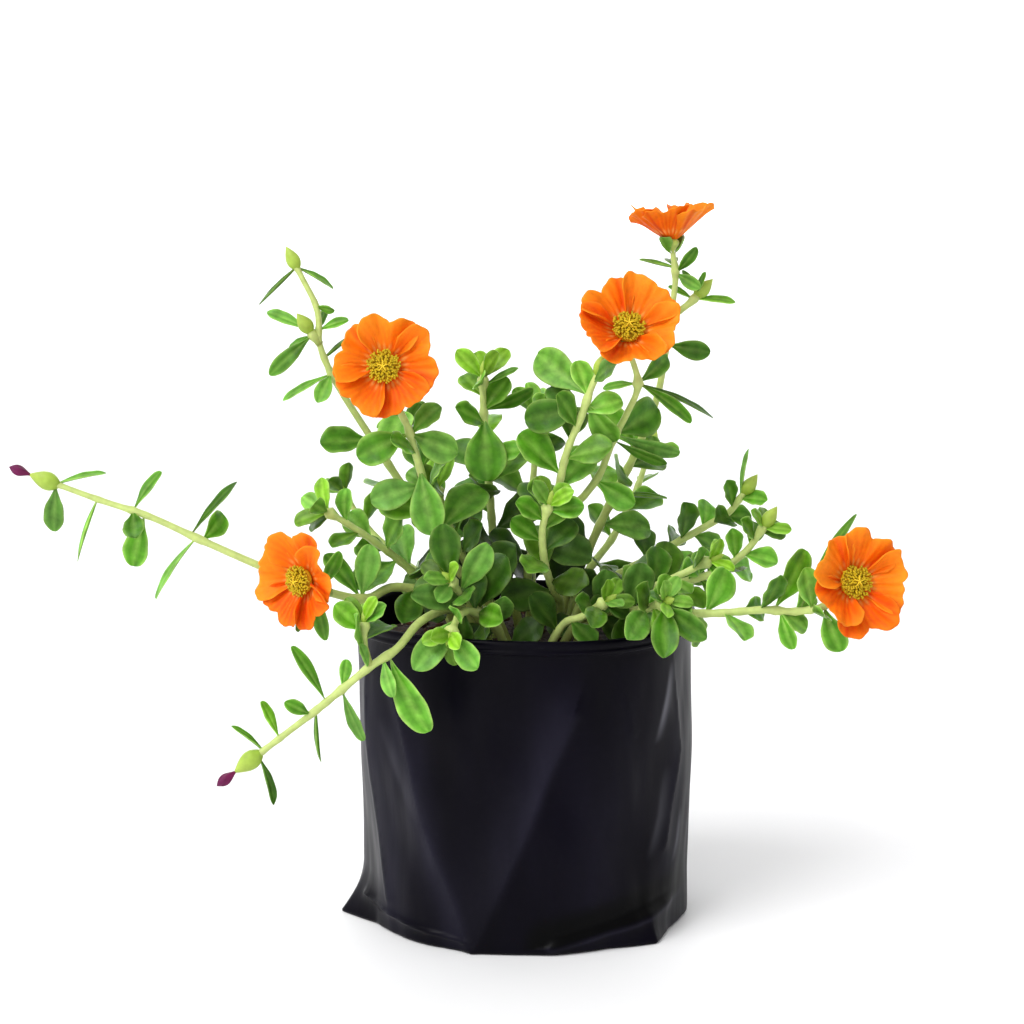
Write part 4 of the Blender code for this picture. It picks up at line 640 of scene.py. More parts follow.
def sinks(shape, floor):
    """Whether a shape dips into the soil, where no surface of it would cross."""
    _, low, high = shape
    near = Vector((max(low.x, min(0.0, high.x)), max(low.y, min(0.0, high.y)), 0))
    return low.z < floor and near.length < BAG_RADIUS - 0.004


def turned(leaf, swing, tilt, shrink):
    """The same leaf, swung round its stem side and tilted, for a try that clears its neighbours."""
    side = leaf["direction"].cross(leaf["normal"])
    rotation = Matrix.Rotation(swing, 3, leaf["normal"]) @ Matrix.Rotation(tilt, 3, side)
    direction = (rotation @ leaf["direction"]).normalized()
    return dict(leaf, direction=direction, normal=across(direction, rotation @ leaf["normal"]),
                length=leaf["length"] * shrink, width=leaf["width"] * shrink)


# What is tried in turn for a leaf, until one clears its neighbours: its swing, its tilt and its size
TRIES = [(0, 0, 1), (0, 0.3, 1), (0, -0.3, 1), (0.35, 0, 1), (-0.35, 0, 1), (0.35, 0.3, 0.95),
         (-0.35, 0.3, 0.95), (0.6, 0, 0.9), (-0.6, 0, 0.9), (0.4, -0.35, 0.9), (-0.4, -0.35, 0.9),
         (0, 0.6, 0.85), (0, -0.6, 0.85), (0.8, 0.3, 0.8), (-0.8, 0.3, 0.8), (0.9, -0.3, 0.75),
         (-0.9, -0.3, 0.75)]


def lay_out():
    """Hangs every leaf where it crosses nothing, and gives each stem its line, leaves and end."""
    floor = SOIL_LEVEL + SOIL_ROUGHNESS + 0.0006
    taken = [tree_of(bag_cage(floor))]
    tubes = {}
    for stem in STEMS:
        stem["line"] = curve_through(route_of(stem), LINE_STEP)
        stem["hung"] = []
        tubes[stem["name"]] = tree_of(tube_cage(stem))
        if stem["end"] != "flower":
            stem["drop"] = bud_of(stem)
            taken.append(tree_of(drop_cage(stem["drop"])))
    for flower in FLOWERS.values():
        taken += [tree_of(petal_cage(flower, petal)) for petal in range(PETALS)]
        taken.append(tree_of(drop_cage(calyx_of(flower))))
    for stem, leaf in wanted_leaves(random.Random(LEAF_SEED)):
        others = [tube for name, tube in tubes.items() if name not in (stem["name"], stem.get("on"))]
        for way in TRIES:
            moved = turned(leaf, *way)
            shape = tree_of(leaf_cage(moved))
            if not sinks(shape, floor) and not crosses(shape, taken + others):
                stem["hung"].append(moved)
                taken.append(shape)
                break


# The bag's wall and the soil's top

def wall_radius(angle, height):
    """The bag's outer wall: soft facets, a creased front, and the cuff at the rim."""
    share = height / BAG_HEIGHT
    soft = sum(deep * math.sin(turns * angle + climb * share) for deep, turns, climb in WALL_FACETS)
    front = math.cos(angle + math.pi / 2)
    deep, turns, climb = FRONT_CREASE
    crease = -deep * max(0.0, front) ** 2 * math.sin(turns * angle + climb * share)
    flare = RIM_FLARE * share * max(-math.cos(angle), 0.45 * math.cos(angle), 0.0)
    return BAG_RADIUS + flare + (soft + crease) * math.sin(math.pi * min(1.0, share * 1.02))


def ear(angle, height):
    """How far the seam flaps stand out at the foot of the bag."""
    reach = max(size * max(0.0, 1 - abs(math.remainder(angle - middle, math.tau)) / EAR_SPREAD)
                for middle, size in EARS)
    return EAR_REACH * reach ** 1.3 * max(0.0, 1 - height / EAR_HEIGHT) ** 1.5


def soil_height(x, y):
    """The potting mix's top: lumps, a little lower at the wall."""
    reach = math.hypot(x, y) / SOIL_RADIUS
    lump = noise.noise(Vector((x * 90, y * 90, 3.0)))
    return SOIL_LEVEL + SOIL_ROUGHNESS * (lump - 1.2 * reach ** 4)


# How finely the pieces are drawn
STEM_SIDES = 12
STEM_STEP = 0.0016
LEAF_ROUND = 16
LEAF_LONG = 26
PETAL_ACROSS = 48
PETAL_OUT = 24
FILM_AROUND = 400
FILM_UP = 130
FILM_INSIDE = 12
SOIL_AROUND = 140
SOIL_RINGS = 46

# The greens, oranges and darks that the surfaces mix, as linear colours
LEAF_UPPER = (0.062, 0.225, 0.001)
LEAF_LIGHT = (0.230, 0.540, 0.090)
LEAF_LOWER = (0.130, 0.330, 0.028)
LEAF_YOUNG = (0.230, 0.450, 0.008)
LEAF_OLD = (0.090, 0.110, 0.003)
LEAF_RIM = (0.380, 0.600, 0.130)
LEAF_DEEP = (0.030, 0.140, 0.001)
STEM_PALE = (0.500, 0.600, 0.190)
STEM_DEEP = (0.320, 0.430, 0.090)
STEM_RUST = (0.400, 0.200, 0.100)
BUD_GREEN = (0.400, 0.520, 0.090)
PETAL_DEEP = (0.760, 0.070, 0.001)
# painted shade for the petals' folds and overlaps
PETAL_PAINTED_SHADE = (0.660, 0.040, 0.002)
PETAL_MAIN = (0.880, 0.148, 0.001)
PETAL_EDGE = (0.920, 0.260, 0.012)
PETAL_PALE = (0.980, 0.600, 0.170)
STAMEN_LOW = (0.400, 0.290, 0.003)
STAMEN_HIGH = (0.640, 0.430, 0.005)
STIGMA = (0.880, 0.620, 0.030)
FILM_BLACK = (0.0009, 0.0005, 0.0030)
FILM_SHEEN = (0.0175, 0.0162, 0.0290)
# painted highlight for the film's sharp bends
FILM_PAINTED_HIGHLIGHT = (0.120, 0.120, 0.140)
# painted shade for the fold of the film's tuck
TUCK_PAINTED_SHADE = (0.0004, 0.0004, 0.0006)
MAGENTA = (0.150, 0.002, 0.050)
MAGENTA_DRY = (0.120, 0.004, 0.060)
SOIL_PLAIN = (0.01, 0.01, 0.01)
SOIL_DARK = (0.0035, 0.0022, 0.0018, 1)
SOIL_RUSTY = (0.050, 0.022, 0.012, 1)
SOIL_SPECK = (0.170, 0.120, 0.085, 1)
BIT_DARK = (0.02, 0.012, 0.008)
BARK = (0.075, 0.030, 0.014)
GRIT = (0.42, 0.36, 0.28)


# Meshes

def mixed(one, two, share):
    share = min(1.0, max(0.0, share))
    return tuple(a + (b - a) * share for a, b in zip(one, two))


def bump(gap, width):
    """A smooth hump over a gap: 1 at its middle, and nearly 0 two widths away."""
    return math.exp(-(gap / width) ** 2)


class Skin:
    """Gathers the surfaces of one piece, with a colour and a material for each."""

    def __init__(self):
        self.points, self.tints, self.faces, self.looks = [], [], [], []

    def ring(self, points, tints):
        start = len(self.points)
        self.points += points
        self.tints += tints
        return range(start, len(self.points))

    def loft(self, rings, look, closed=True, caps=True):
        """Skins rings of the same count, with a fan over each end."""
        spans = [self.ring(points, tints) for points, tints in rings]
        for lower, upper in zip(spans, spans[1:]):
            count = len(lower)
            for i in range(count if closed else count - 1):
                j = (i + 1) % count
                self.faces.append((lower[i], lower[j], upper[j], upper[i]))
                self.looks.append(look)
        if caps:
            for span, flip in ((spans[0], True), (spans[-1], False)):
                count = len(span)
                middle = sum((self.points[i] for i in span), Vector()) / count
                centre = self.ring([middle], [self.tints[span[0]]])[0]
                for i in range(count):
                    pair = (span[i], span[(i + 1) % count])
                    self.faces.append((*(reversed(pair) if flip else pair), centre))
                    self.looks.append(look)

    def piece(self, name, looks):
        mesh = bpy.data.meshes.new(name)
        mesh.from_pydata(self.points, [], self.faces)
        for look in looks:
            mesh.materials.append(look)
        mesh.polygons.foreach_set("material_index", self.looks)
        tint = mesh.color_attributes.new("tint", "FLOAT_COLOR", "POINT")
        tint.data.foreach_set("color", [value for colour in self.tints for value in (*colour, 1.0)])
        mesh.shade_smooth()
        thing = add_object(name, mesh)
        cage = bmesh.new()
        cage.from_mesh(mesh)
        bmesh.ops.recalc_face_normals(cage, faces=cage.faces)
        cage.to_mesh(mesh)
        cage.free()
        return thing


def add_object(name, data):
    thing = bpy.data.objects.new(name, data)
    bpy.context.scene.collection.objects.link(thing)
    return thing


def in_place_of(piece, node):
    """Puts a finer piece in the place of a solid node, which it hides."""
    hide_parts(node)
    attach(piece, "root")


# Materials

def shader_of(name, **settings):
    """A new material, its nodes and links, and its shader with the inputs named."""
    look = bpy.data.materials.new(name)
    look.use_nodes = True
    nodes, links = look.node_tree.nodes, look.node_tree.links
    shader = nodes["Principled BSDF"]
    set_inputs(shader, settings)
    return look, nodes, links, shader


def set_inputs(node, settings):
    """Sets a node's inputs by their names, with _ for each space."""
    for name, value in settings.items():
        node.inputs[name.replace("_", " ")].default_value = value


def add_node(nodes, kind, **settings):
    node = nodes.new("ShaderNode" + kind)
    set_inputs(node, settings)
    return node


def noise_node(nodes, links, scale, detail, stretch=(1, 1, 1)):
    """A noise over the object's own coordinates, in cycles a metre."""
    place = add_node(nodes, "TexCoord")
    mapping = add_node(nodes, "Mapping", Scale=stretch)
    grain = add_node(nodes, "TexNoise", Scale=scale, Detail=detail)
    links.new(place.outputs["Object"], mapping.inputs["Vector"])
    links.new(mapping.outputs["Vector"], grain.inputs["Vector"])
    return grain


def spread_node(nodes, links, grain, low, high):
    """Stretches the middle of a noise over the range from low to high."""
    spread = add_node(nodes, "MapRange", From_Min=0.3, From_Max=0.7, To_Min=low, To_Max=high)
    links.new(grain.outputs["Fac"], spread.inputs["Value"])
    return spread


def link_tint(nodes, links, shader, brightness):
    """Gives the shader the piece's own tints, times a brightness."""
    tint = add_node(nodes, "VertexColor")
    tint.layer_name = "tint"
    bright = add_node(nodes, "VectorMath")
    bright.operation = "SCALE"
    links.new(tint.outputs["Color"], bright.inputs[0])
    links.new(brightness.outputs["Result"], bright.inputs["Scale"])
    links.new(bright.outputs["Vector"], shader.inputs["Base Color"])


def link_relief(nodes, links, shader, layers):
    """Gives the shader a relief of layers, each of a noise, its strength and its depth."""
    below = None
    for grain, strength, depth in layers:
        relief = add_node(nodes, "Bump", Strength=strength, Distance=depth)
        links.new(grain.outputs["Fac"], relief.inputs["Height"])
        if below:
            links.new(below.outputs["Normal"], relief.inputs["Normal"])
        below = relief
    links.new(below.outputs["Normal"], shader.inputs["Normal"])


def tinted(name, roughness, subsurface, mottle, mottle_scale, relief, relief_scale, coat=0.0, specular=0.5):
    """A plant surface: its own tint, mottled, with fine relief and a little light passing through."""
    look, nodes, links, shader = shader_of(
        name, Roughness=roughness, Subsurface_Weight=subsurface, Subsurface_Radius=(0.0012, 0.0016, 0.0004),
        Subsurface_Scale=1.0, Coat_Weight=coat, Coat_Roughness=0.3, Specular_IOR_Level=specular)
    grain = noise_node(nodes, links, mottle_scale, 4)
    link_tint(nodes, links, shader, spread_node(nodes, links, grain, 1 - mottle, 1 + mottle))
    link_relief(nodes, links, shader, [(noise_node(nodes, links, relief_scale, 3), relief, 0.0003)])
    return look


def film_material():
    """Black polyethylene film: satin, with soft stretch marks and tiny scuffs."""
    look, nodes, links, shader = shader_of("black_film", Specular_IOR_Level=0.07)
    streaks = noise_node(nodes, links, 55, 4, (1, 1, 0.22))
    scuffs = noise_node(nodes, links, 900, 2)
    link_tint(nodes, links, shader, spread_node(nodes, links, streaks, 0.55, 1.45))
    gloss = spread_node(nodes, links, streaks, 0.30, 0.44)
    links.new(gloss.outputs["Result"], shader.inputs["Roughness"])
    link_relief(nodes, links, shader, [(streaks, 0.35, 0.0012), (scuffs, 0.10, 0.0001)])
    return look


def soil_material():
    """Dark moist potting mix with rusty fibres and pale specks."""
    look, nodes, links, shader = shader_of("potting_mix", Roughness=0.92)
    clods = noise_node(nodes, links, 420, 6)
    ramp = add_node(nodes, "ValToRGB")
    ramp.color_ramp.elements[0].position = 0.38
    ramp.color_ramp.elements[0].color = SOIL_DARK
    ramp.color_ramp.elements[1].position = 0.66
    ramp.color_ramp.elements[1].color = SOIL_RUSTY
    ramp.color_ramp.elements.new(0.78).color = SOIL_SPECK
    links.new(clods.outputs["Fac"], ramp.inputs["Fac"])
    links.new(ramp.outputs["Color"], shader.inputs["Base Color"])
    link_relief(nodes, links, shader, [(clods, 0.9, 0.0014)])
    return look


LEAF_LOOK = tinted("leaf_flesh", 0.34, 0.05, 0.30, 300, 0.35, 1300, coat=0.02, specular=0.14)
STEM_LOOK = tinted("stem_flesh", 0.42, 0.10, 0.12, 380, 0.20, 1200, specular=0.25)
PETAL_LOOK = tinted("petal_silk", 0.55, 0.12, 0.08, 500, 0.35, 1700, specular=0.12)
STAMEN_LOOK = tinted("pollen_gold", 0.65, 0.05, 0.15, 900, 0.4, 2600, specular=0.3)
SPENT_LOOK = tinted("spent_petal", 0.6, 0.0, 0.25, 500, 0.6, 1500, specular=0.3)
GREENS = [LEAF_LOOK, STEM_LOOK]
LEAF, STEM = 0, 1


# Stems, leaves and buds

# How far from the bag's axis and above the soil the leaves are darkened with painted shade, standing in for
# the shade of their neighbours
INNER_REACH = 0.064
INNER_HEIGHT = 0.060
INNER_SHADE = 0.75

# A leaf's relief, as shares of its thickness, and where its tones lie across it, as shares of its width
RIB_WIDTH = 0.16
RIB_GROOVE = 0.85
KEEL_GROOVE = 0.45
RIM_FROM = 0.84
DEEP_AT = 0.42
DEEP_WIDTH = 0.22
LEAF_RIPPLE = 0.05
LEAF_BRIGHTNESS = (0.50, 1.35)

# A stem swells at each leaf, and runs on into the calyx under a bloom
NODE_SWELL = 0.22
NODE_LENGTH = 0.0016
STEM_INTO_CALYX = 0.45

# What the finer blooms and spent buds add to the solid ones
CALYX_RISE = 0.0018
SEPAL_LENGTH = 0.0070
SEPAL_WIDTH = 0.0058
SPENT_LENGTH = 0.0088
SPENT_RADIUS = 0.0016


def leaf_tones(leaf, chance):
    """The tone of a leaf's face, the tone of its back, and how bright both are, with painted shade on the
    leaves low and near the bag's axis.
    """
    age = leaf["age"]
    upper = mixed(mixed(LEAF_YOUNG, LEAF_UPPER, age * 2.2), LEAF_OLD, (age - 0.82) * 3.5)
    upper = mixed(upper, LEAF_LIGHT, chance.random() ** 2.4 * 0.9)
    lower = mixed(LEAF_LOWER, upper, 0.35)
    middle = leaf["root"] + leaf["direction"] * (leaf["length"] / 2)
    inner = max(0.0, 1 - math.hypot(middle.x, middle.y) / INNER_REACH)
    low = max(0.0, 1 - (middle.z - SOIL_LEVEL) / INNER_HEIGHT)
    # painted shade: leaves low and near the bag's axis are darkened as if their neighbours shaded them
    bright = chance.uniform(*LEAF_BRIGHTNESS) * (1 - INNER_SHADE * min(1.0, 2.6 * inner * low))
    return upper, lower, bright


def add_leaf(skin, leaf, chance):
    """A fleshy blade: sunk midrib above, a keel below, a pale rim and a waved edge."""
    upper, lower, bright = leaf_tones(leaf, chance)
    phase, waves = chance.uniform(0, math.tau), chance.uniform(2.2, 3.6)
    ripple = LEAF_RIPPLE * leaf["width"]
    rings = []
    for step in range(LEAF_LONG + 1):
        u = 0.004 + 0.992 * (0.5 - 0.5 * math.cos(math.pi * step / LEAF_LONG))
        points, tints = [], []
        for angle in around(LEAF_ROUND):
            side, lift = math.cos(angle), math.sin(angle)
            rib = bump(side, RIB_WIDTH)
            body = lift * (1 - 0.35 * abs(side) ** 3)
            body -= (RIB_GROOVE * (1 - 0.6 * u) if lift > 0 else KEEL_GROOVE * (1 - u)) * rib
            tip = math.sin(math.pi * min(1.0, u * 1.02)) ** 0.35 if u < 0.98 else 0.3
            point = leaf_point(leaf, u, side, body * tip)
            point += leaf["normal"] * (ripple * side * abs(side) * math.sin(math.tau * waves * u + phase) * u)
            points.append(point)
            tone = upper if lift >= -0.05 else lower
            tone = mixed(tone, LEAF_LIGHT, 0.18 * side * side + 0.12 * u)
            tone = mixed(tone, LEAF_RIM, 0.80 * max(0.0, abs(side) - RIM_FROM) / (1 - RIM_FROM))
            tone = mixed(tone, LEAF_RIM, (0.50 * (1 - 0.8 * u) if lift > 0 else 0.3) * rib)
            tone = mixed(tone, LEAF_DEEP, 0.40 * bump(abs(side) - DEEP_AT, DEEP_WIDTH))
            tone = mixed(tone, STEM_PALE, max(0.0, 0.16 - u) * 5)
            tints.append(tuple(value * bright for value in tone))
        rings.append((points, tints))
    skin.loft(rings, LEAF)


def add_tube(skin, line, radius_at, tone_at, look, sides=STEM_SIDES, swell=()):
    """A swept stem with a small swelling at each node that carries a leaf."""
    rings = []
    side_way = UP + TOWARDS_VIEWER * 0.3
    for i, point in enumerate(line):
        t = i / (len(line) - 1)
        along = (line[min(i + 1, len(line) - 1)] - line[max(i - 1, 0)]).normalized()
        side_way = across(along, side_way)
        over = along.cross(side_way)
        radius = radius_at(t)
        for node in swell:
            radius *= 1 + NODE_SWELL * bump((point - node).length, NODE_LENGTH)
        points, tints = [], []
        for angle in around(sides):
            r = radius * (1 + 0.04 * math.cos(3 * angle + 6 * t))
            points.append(point + side_way * (r * math.cos(angle)) + over * (r * math.sin(angle)))
            tints.append(tone_at(t, angle))
        rings.append((points, tints))
    skin.loft(rings, look)


def add_drop(skin, drop, tones, look, ridges=0, twist=0.0, sides=16, steps=14):
    """A bud, calyx or shrivelled tip: a pointed drop with soft ridges."""
    along = drop["along"]
    u, v = axes_about(along)
    rings = []
    for step in range(steps + 1):
        s = 0.5 - 0.5 * math.cos(math.pi * step / steps)
        swell = math.sin(math.pi * max(1e-4, min(s, 0.9999)) ** drop.get("belly", BUD_BELLY))
        points, tints = [], []
        for angle in around(sides):
            r = drop["radius"] * swell
            if ridges:
                r *= 1 + 0.14 * math.cos(ridges * angle + twist * s)
            points.append(drop["root"] + along * (drop["length"] * s) + u * (r * math.cos(angle))
                          + v * (r * math.sin(angle)))
            tints.append(mixed(tones[0], tones[1], s))
        rings.append((points, tints))
    skin.loft(rings, look)


def sepal_of(flower, turn):
    """One of the two broad scales that hold a bloom from below."""
    right, over, face = flower_frame(flower)
    angle = math.radians(flower["turn"] + turn)
    outward = right * math.cos(angle) + over * math.sin(angle)
    direction = (outward + face * 0.75).normalized()
    return dict(root=flower_base(flower) - face * 0.0032 + outward * 0.0008, direction=direction,
                normal=across(direction, face), length=SEPAL_LENGTH, width=SEPAL_WIDTH,
                bend=-0.5, fold=0.6, age=0.25)


def stem_tone(rust, t, angle):
    """A stem's tone at a share t of its length: deeper at its foot, with a rusty side."""
    base = mixed(STEM_DEEP, STEM_PALE, 0.25 + t * 1.1)
    return mixed(base, STEM_RUST, rust * max(0.0, 0.5 - t) * (0.6 + 0.4 * math.cos(angle)))


def stem_piece(stems, chance):
    """One leafy stem with its branches, leaves and ends, in place of its solid."""
    skin = Skin()
    for stem in stems:
        line = curve_through(route_of(stem), STEM_STEP)
        if stem["end"] == "flower":
            cup = calyx_of(FLOWERS[stem["name"]])
            line.append(cup["root"] + cup["along"] * (STEM_INTO_CALYX * cup["length"]))
        nodes = [leaf["root"] for leaf in stem["hung"]]
        rust = chance.uniform(0.0, 0.5)
        add_tube(skin, line, partial(stem_radius, stem), partial(stem_tone, rust), STEM, swell=nodes)
        for leaf in stem["hung"]:
            add_leaf(skin, leaf, chance)
        if stem["end"] == "flower":
            cup.update(length=cup["length"] + CALYX_RISE, radius=cup["radius"] * 1.08)
            add_drop(skin, cup, (STEM_PALE, BUD_GREEN), STEM, ridges=2)
            for turn in (0, 180):
                add_leaf(skin, sepal_of(FLOWERS[stem["name"]], turn), chance)
        else:
            young = mixed(BUD_GREEN, LEAF_YOUNG, 0.5)
            add_drop(skin, stem["drop"], (young, BUD_GREEN), STEM, ridges=2)
    name = stems[0]["name"] + "_stem"
    in_place_of(skin.piece(name + "_look", GREENS), name)


def spent_piece(stem):
    """The shrivelled magenta petals on a spent bud."""
    drop = stem["drop"]
    tip = dict(root=drop["root"] + drop["along"] * (drop["length"] * 0.80), along=drop["along"],
               length=SPENT_LENGTH, radius=SPENT_RADIUS, belly=1.5)
    skin = Skin()
    add_drop(skin, tip, (MAGENTA, MAGENTA_DRY), 0, ridges=4, twist=5.0, sides=24, steps=20)
    name = stem["name"] + "_spent"
    in_place_of(skin.piece(name + "_look", [SPENT_LOOK]), name)


# Blooms

# How the thin petals are crimped and frilled, as shares of the bloom's radius
PETAL_THICKNESS = 0.00028
PETAL_LOBES = 0.012
EDGE_WAVE = 0.030
EDGE_FRILL = 0.014
CRIMP = 0.050
FRILL = 0.014
FURROW = 0.008
MIDDLE_FOLD = 0.085
FOLD_WIDTH = 0.15
CORNER_CALM = 0.85

# How much darker or lighter a whole petal is than the next
PETAL_SHADES = (-0.48, 0.26)

# Where on a petal, in share of its width and length, the painted shade under its neighbour lies and its pale
# rays stand
LAP_AT = -0.56
LAP_WIDTH = 0.10
RAY_AT = 0.35
RAY_PALE = 0.42

# The tuft of stamens and the style, for a bloom of the full radius
FULL_BLOOM = 0.0164
FILAMENTS = 190
TUFT_RADIUS = 0.0052
TUFT_HEIGHT = 0.0046
TUFT_FALL = 0.0014
FILAMENT_RADIUS = 0.00015
ANTHER_LENGTH = 0.00100
ANTHER_RADIUS = 0.00041
CUSHION_LENGTH = 0.0034
CUSHION_RADIUS = 0.0046
STYLE_HEIGHT = 0.0052
STYLE_RADIUS = 0.00026
STYLE_ARMS = 5
STYLE_ARM = 0.0018


def petal_edge(side, phase):
    """How far a petal's edge runs out past its plain outline, as a share of its length."""
    edge = EDGE_WAVE * math.sin(8 * side + phase[0]) + EDGE_FRILL * math.sin(21 * side + phase[2])
    return edge - PETAL_LOBES * math.cos(math.tau * side)


def petal_crimp(side, out, phase):
    """How far a petal's surface is crimped towards its face, as a share of the bloom's radius."""
    crimp = CRIMP * out ** 2.4 * math.sin(8 * side + phase[1] + 3 * out)
    crimp += FRILL * out ** 2 * math.sin(25 * side + phase[2] - 4 * out)
    crimp += FURROW * math.sin(9 * out + 5 * side + phase[3]) * out
    crimp -= MIDDLE_FOLD * out ** 1.2 * bump(side, FOLD_WIDTH)
    return crimp * (1 - CORNER_CALM * side ** 8)


def petal_tone(side, out, phase, shade):
    """A petal's tone: veined, lighter at its edge, with painted shade in its middle fold and under its
    neighbour's edge, and pale rays near the tuft.
    """
    vein = 0.5 + 0.5 * math.sin(34 * side + 2 * math.sin(6 * out + phase[0]))
    tone = mixed(PETAL_DEEP, PETAL_MAIN, 0.45 + 0.55 * vein + shade)
    tone = mixed(tone, PETAL_EDGE, out ** 3 * 0.85 + shade)
    # painted shade where the neighbouring petal covers this one and in the middle fold
    painted_shade = bump(side - LAP_AT, LAP_WIDTH) + 0.35 * bump(side, 0.06) * (1 - out)
    tone = mixed(tone, PETAL_PAINTED_SHADE, 0.8 * painted_shade * min(1.0, 2.4 * out) * (1 - 0.4 * out ** 4))
    ray = 0.5 + 0.5 * math.sin(19 * side + phase[3])
    return mixed(tone, PETAL_PALE, RAY_PALE * ray * bump(out - RAY_AT, 0.030 + 0.050 * ray))


def petal_piece(name, chance):
    """Five crinkled petals in place of the solid bloom."""
    flower = FLOWERS[name]
    face = facing_of(flower)
    skin = Skin()
    for petal in range(PETALS):
        phase = [chance.uniform(0, math.tau) for _ in range(4)]
        shade = chance.uniform(*PETAL_SHADES)
        rings = []
        for row in range(PETAL_OUT + 1):
            out = row / PETAL_OUT
            points, tints = [], []
            for column in range(PETAL_ACROSS + 1):
                side = -1 + 2 * column / PETAL_ACROSS
                edge = petal_edge(side, phase)
                point = petal_point(flower, petal, side, out * (1 + edge * out ** 4))
                points.append(point + face * (petal_crimp(side, out, phase) * flower["radius"]))
                tints.append(petal_tone(side, out, phase, shade))
            rings.append((points, tints))
        skin.loft(rings, 0, closed=False, caps=False)
    piece = skin.piece(name + "_petals_look", [PETAL_LOOK])
    thick = piece.modifiers.new("Thickness", "SOLIDIFY")
    thick.thickness = PETAL_THICKNESS
    thick.offset = 0
    in_place_of(piece, name + "_petals")


def add_style(skin, middle, flower, scale):
    """The style's column and its star of five arms."""
    right, over, face = flower_frame(flower)
    top = middle + face * STYLE_HEIGHT * scale
    add_tube(skin, [middle, middle.lerp(top, 0.5), top], lambda t: STYLE_RADIUS * scale,
             lambda t, a: STIGMA, 0, sides=6)
    for angle in around(STYLE_ARMS):
        outward = right * math.cos(angle + 0.3) + over * math.sin(angle + 0.3)
        bend = top + outward * (STYLE_ARM / 2) + face * 0.0003
        line = curve_through([top, bend, top + outward * STYLE_ARM], 0.0006)
        add_tube(skin, line, lambda t: (0.00022 - 0.00008 * t) * scale, lambda t, a: STIGMA, 0, sides=6)


def stamen_piece(name, chance):
    """A dense tuft of filaments with anthers, and the pale star of the style in its middle."""
    flower = FLOWERS[name]
    right, over, face = flower_frame(flower)
    scale = min(1.0, flower["radius"] / FULL_BLOOM)
    middle = flower_base(flower) + face * (CALYX_GAP_HEIGHT + 0.0008)
    skin = Skin()
    cushion = dict(root=middle, along=face, length=CUSHION_LENGTH * scale, radius=CUSHION_RADIUS * scale,
                   belly=0.62)
    add_drop(skin, cushion, (STAMEN_HIGH, STAMEN_HIGH), 0, sides=20, steps=8)
    for i in range(FILAMENTS):
        share = math.sqrt((i + 0.5) / FILAMENTS)
        angle = i * GOLDEN_ANGLE + chance.uniform(-0.25, 0.25)
        spread = TUFT_RADIUS * share * scale
        height = (TUFT_HEIGHT - TUFT_FALL * share ** 2 + chance.uniform(-0.0002, 0.0002)) * scale
        outward = right * math.cos(angle) + over * math.sin(angle)
        start = middle + outward * (spread * 0.32)
        end = middle + outward * spread + face * height
        bend = start.lerp(end, 0.5) + outward * (spread * 0.08) - face * 0.0002
        line = curve_through([start, bend, end], 0.0010)
        tint = mixed(STAMEN_HIGH, STAMEN_LOW, 0.25 + 0.55 * chance.random() * share)
        add_tube(skin, line, lambda t: FILAMENT_RADIUS * scale,
                 lambda t, a: mixed(STAMEN_LOW, STAMEN_HIGH, t), 0, sides=4)
        anther = dict(root=end - outward * 0.0004 - face * 0.0001, along=(outward + face * 0.35).normalized(),
                      length=ANTHER_LENGTH * scale, radius=ANTHER_RADIUS * scale, belly=1.0)
        add_drop(skin, anther, (tint, tint), 0, sides=6, steps=5)
    add_style(skin, middle, flower, scale)
    in_place_of(skin.piece(name + "_stamens_look", [STAMEN_LOOK]), name + "_stamens")


# Bag and soil

# Creases on the front of the film: (along the wall from its middle, height), then how proud and how wide
CREASES = [
    ([(-0.018, 0.000), (-0.039, 0.056), (-0.048, 0.082)], 0.0011, 0.0055),
    ([(-0.018, 0.000), (-0.005, 0.030), (0.014, 0.077)], 0.0012, 0.0065),
    ([(-0.062, 0.090), (-0.060, 0.050), (-0.052, 0.012)], 0.0008, 0.0050),
    ([(0.056, 0.092), (0.060, 0.060), (0.052, 0.030)], 0.0008, 0.0055),
    ([(0.030, 0.094), (0.036, 0.070)], 0.0006, 0.0050),
    ([(-0.070, 0.0090), (-0.061, 0.0080), (-0.040, 0.0060), (-0.020, 0.0040)], 0.0012, 0.0016),
    ([(0.100, 0.090), (0.110, 0.050), (0.104, 0.010)], 0.0009, 0.0070),
    ([(-0.120, 0.088), (-0.112, 0.045), (-0.122, 0.008)], 0.0009, 0.0070),
    ([(0.150, 0.080), (0.140, 0.040), (0.154, 0.006)], 0.0010, 0.0070),
]

# Sheens down the film: where along the wall, how wide, how strong and how far they lean with the height
SHEENS = [(-0.056, 0.010, 0.75, -0.10), (-0.036, 0.006, 0.40, -0.25), (0.056, 0.005, 0.20, 0.06),
          (0.030, 0.012, 0.18, 0.25), (0.100, 0.015, 0.5, 0.1), (-0.100, 0.015, 0.5, -0.1),
          (0.150, 0.02, 0.4, 0.0)]

# Narrow painted highlights on sharp bends of the film: (along the wall, height), then how bright and how wide
HIGHLIGHT_STREAKS = [
    ([(0.0545, 0.0900), (0.0531, 0.0853), (0.0461, 0.0639)], 0.85, 0.0009),
    ([(0.0617, 0.0400), (0.0600, 0.0300), (0.0570, 0.0224)], 0.45, 0.0008),
    ([(0.0520, 0.0560), (0.0490, 0.0400), (0.0440, 0.0260)], 0.22, 0.0012),
    ([(-0.0541, 0.0720), (-0.0449, 0.0550), (-0.0356, 0.0400)], 0.20, 0.0016),
    ([(-0.0600, 0.0600), (-0.0560, 0.0350), (-0.0540, 0.0220)], 0.12, 0.0014),
]

# The first creases are the two arms of the V, and each has a lit facet on one side
FACETS = 2
FACET_SHEEN = 0.34

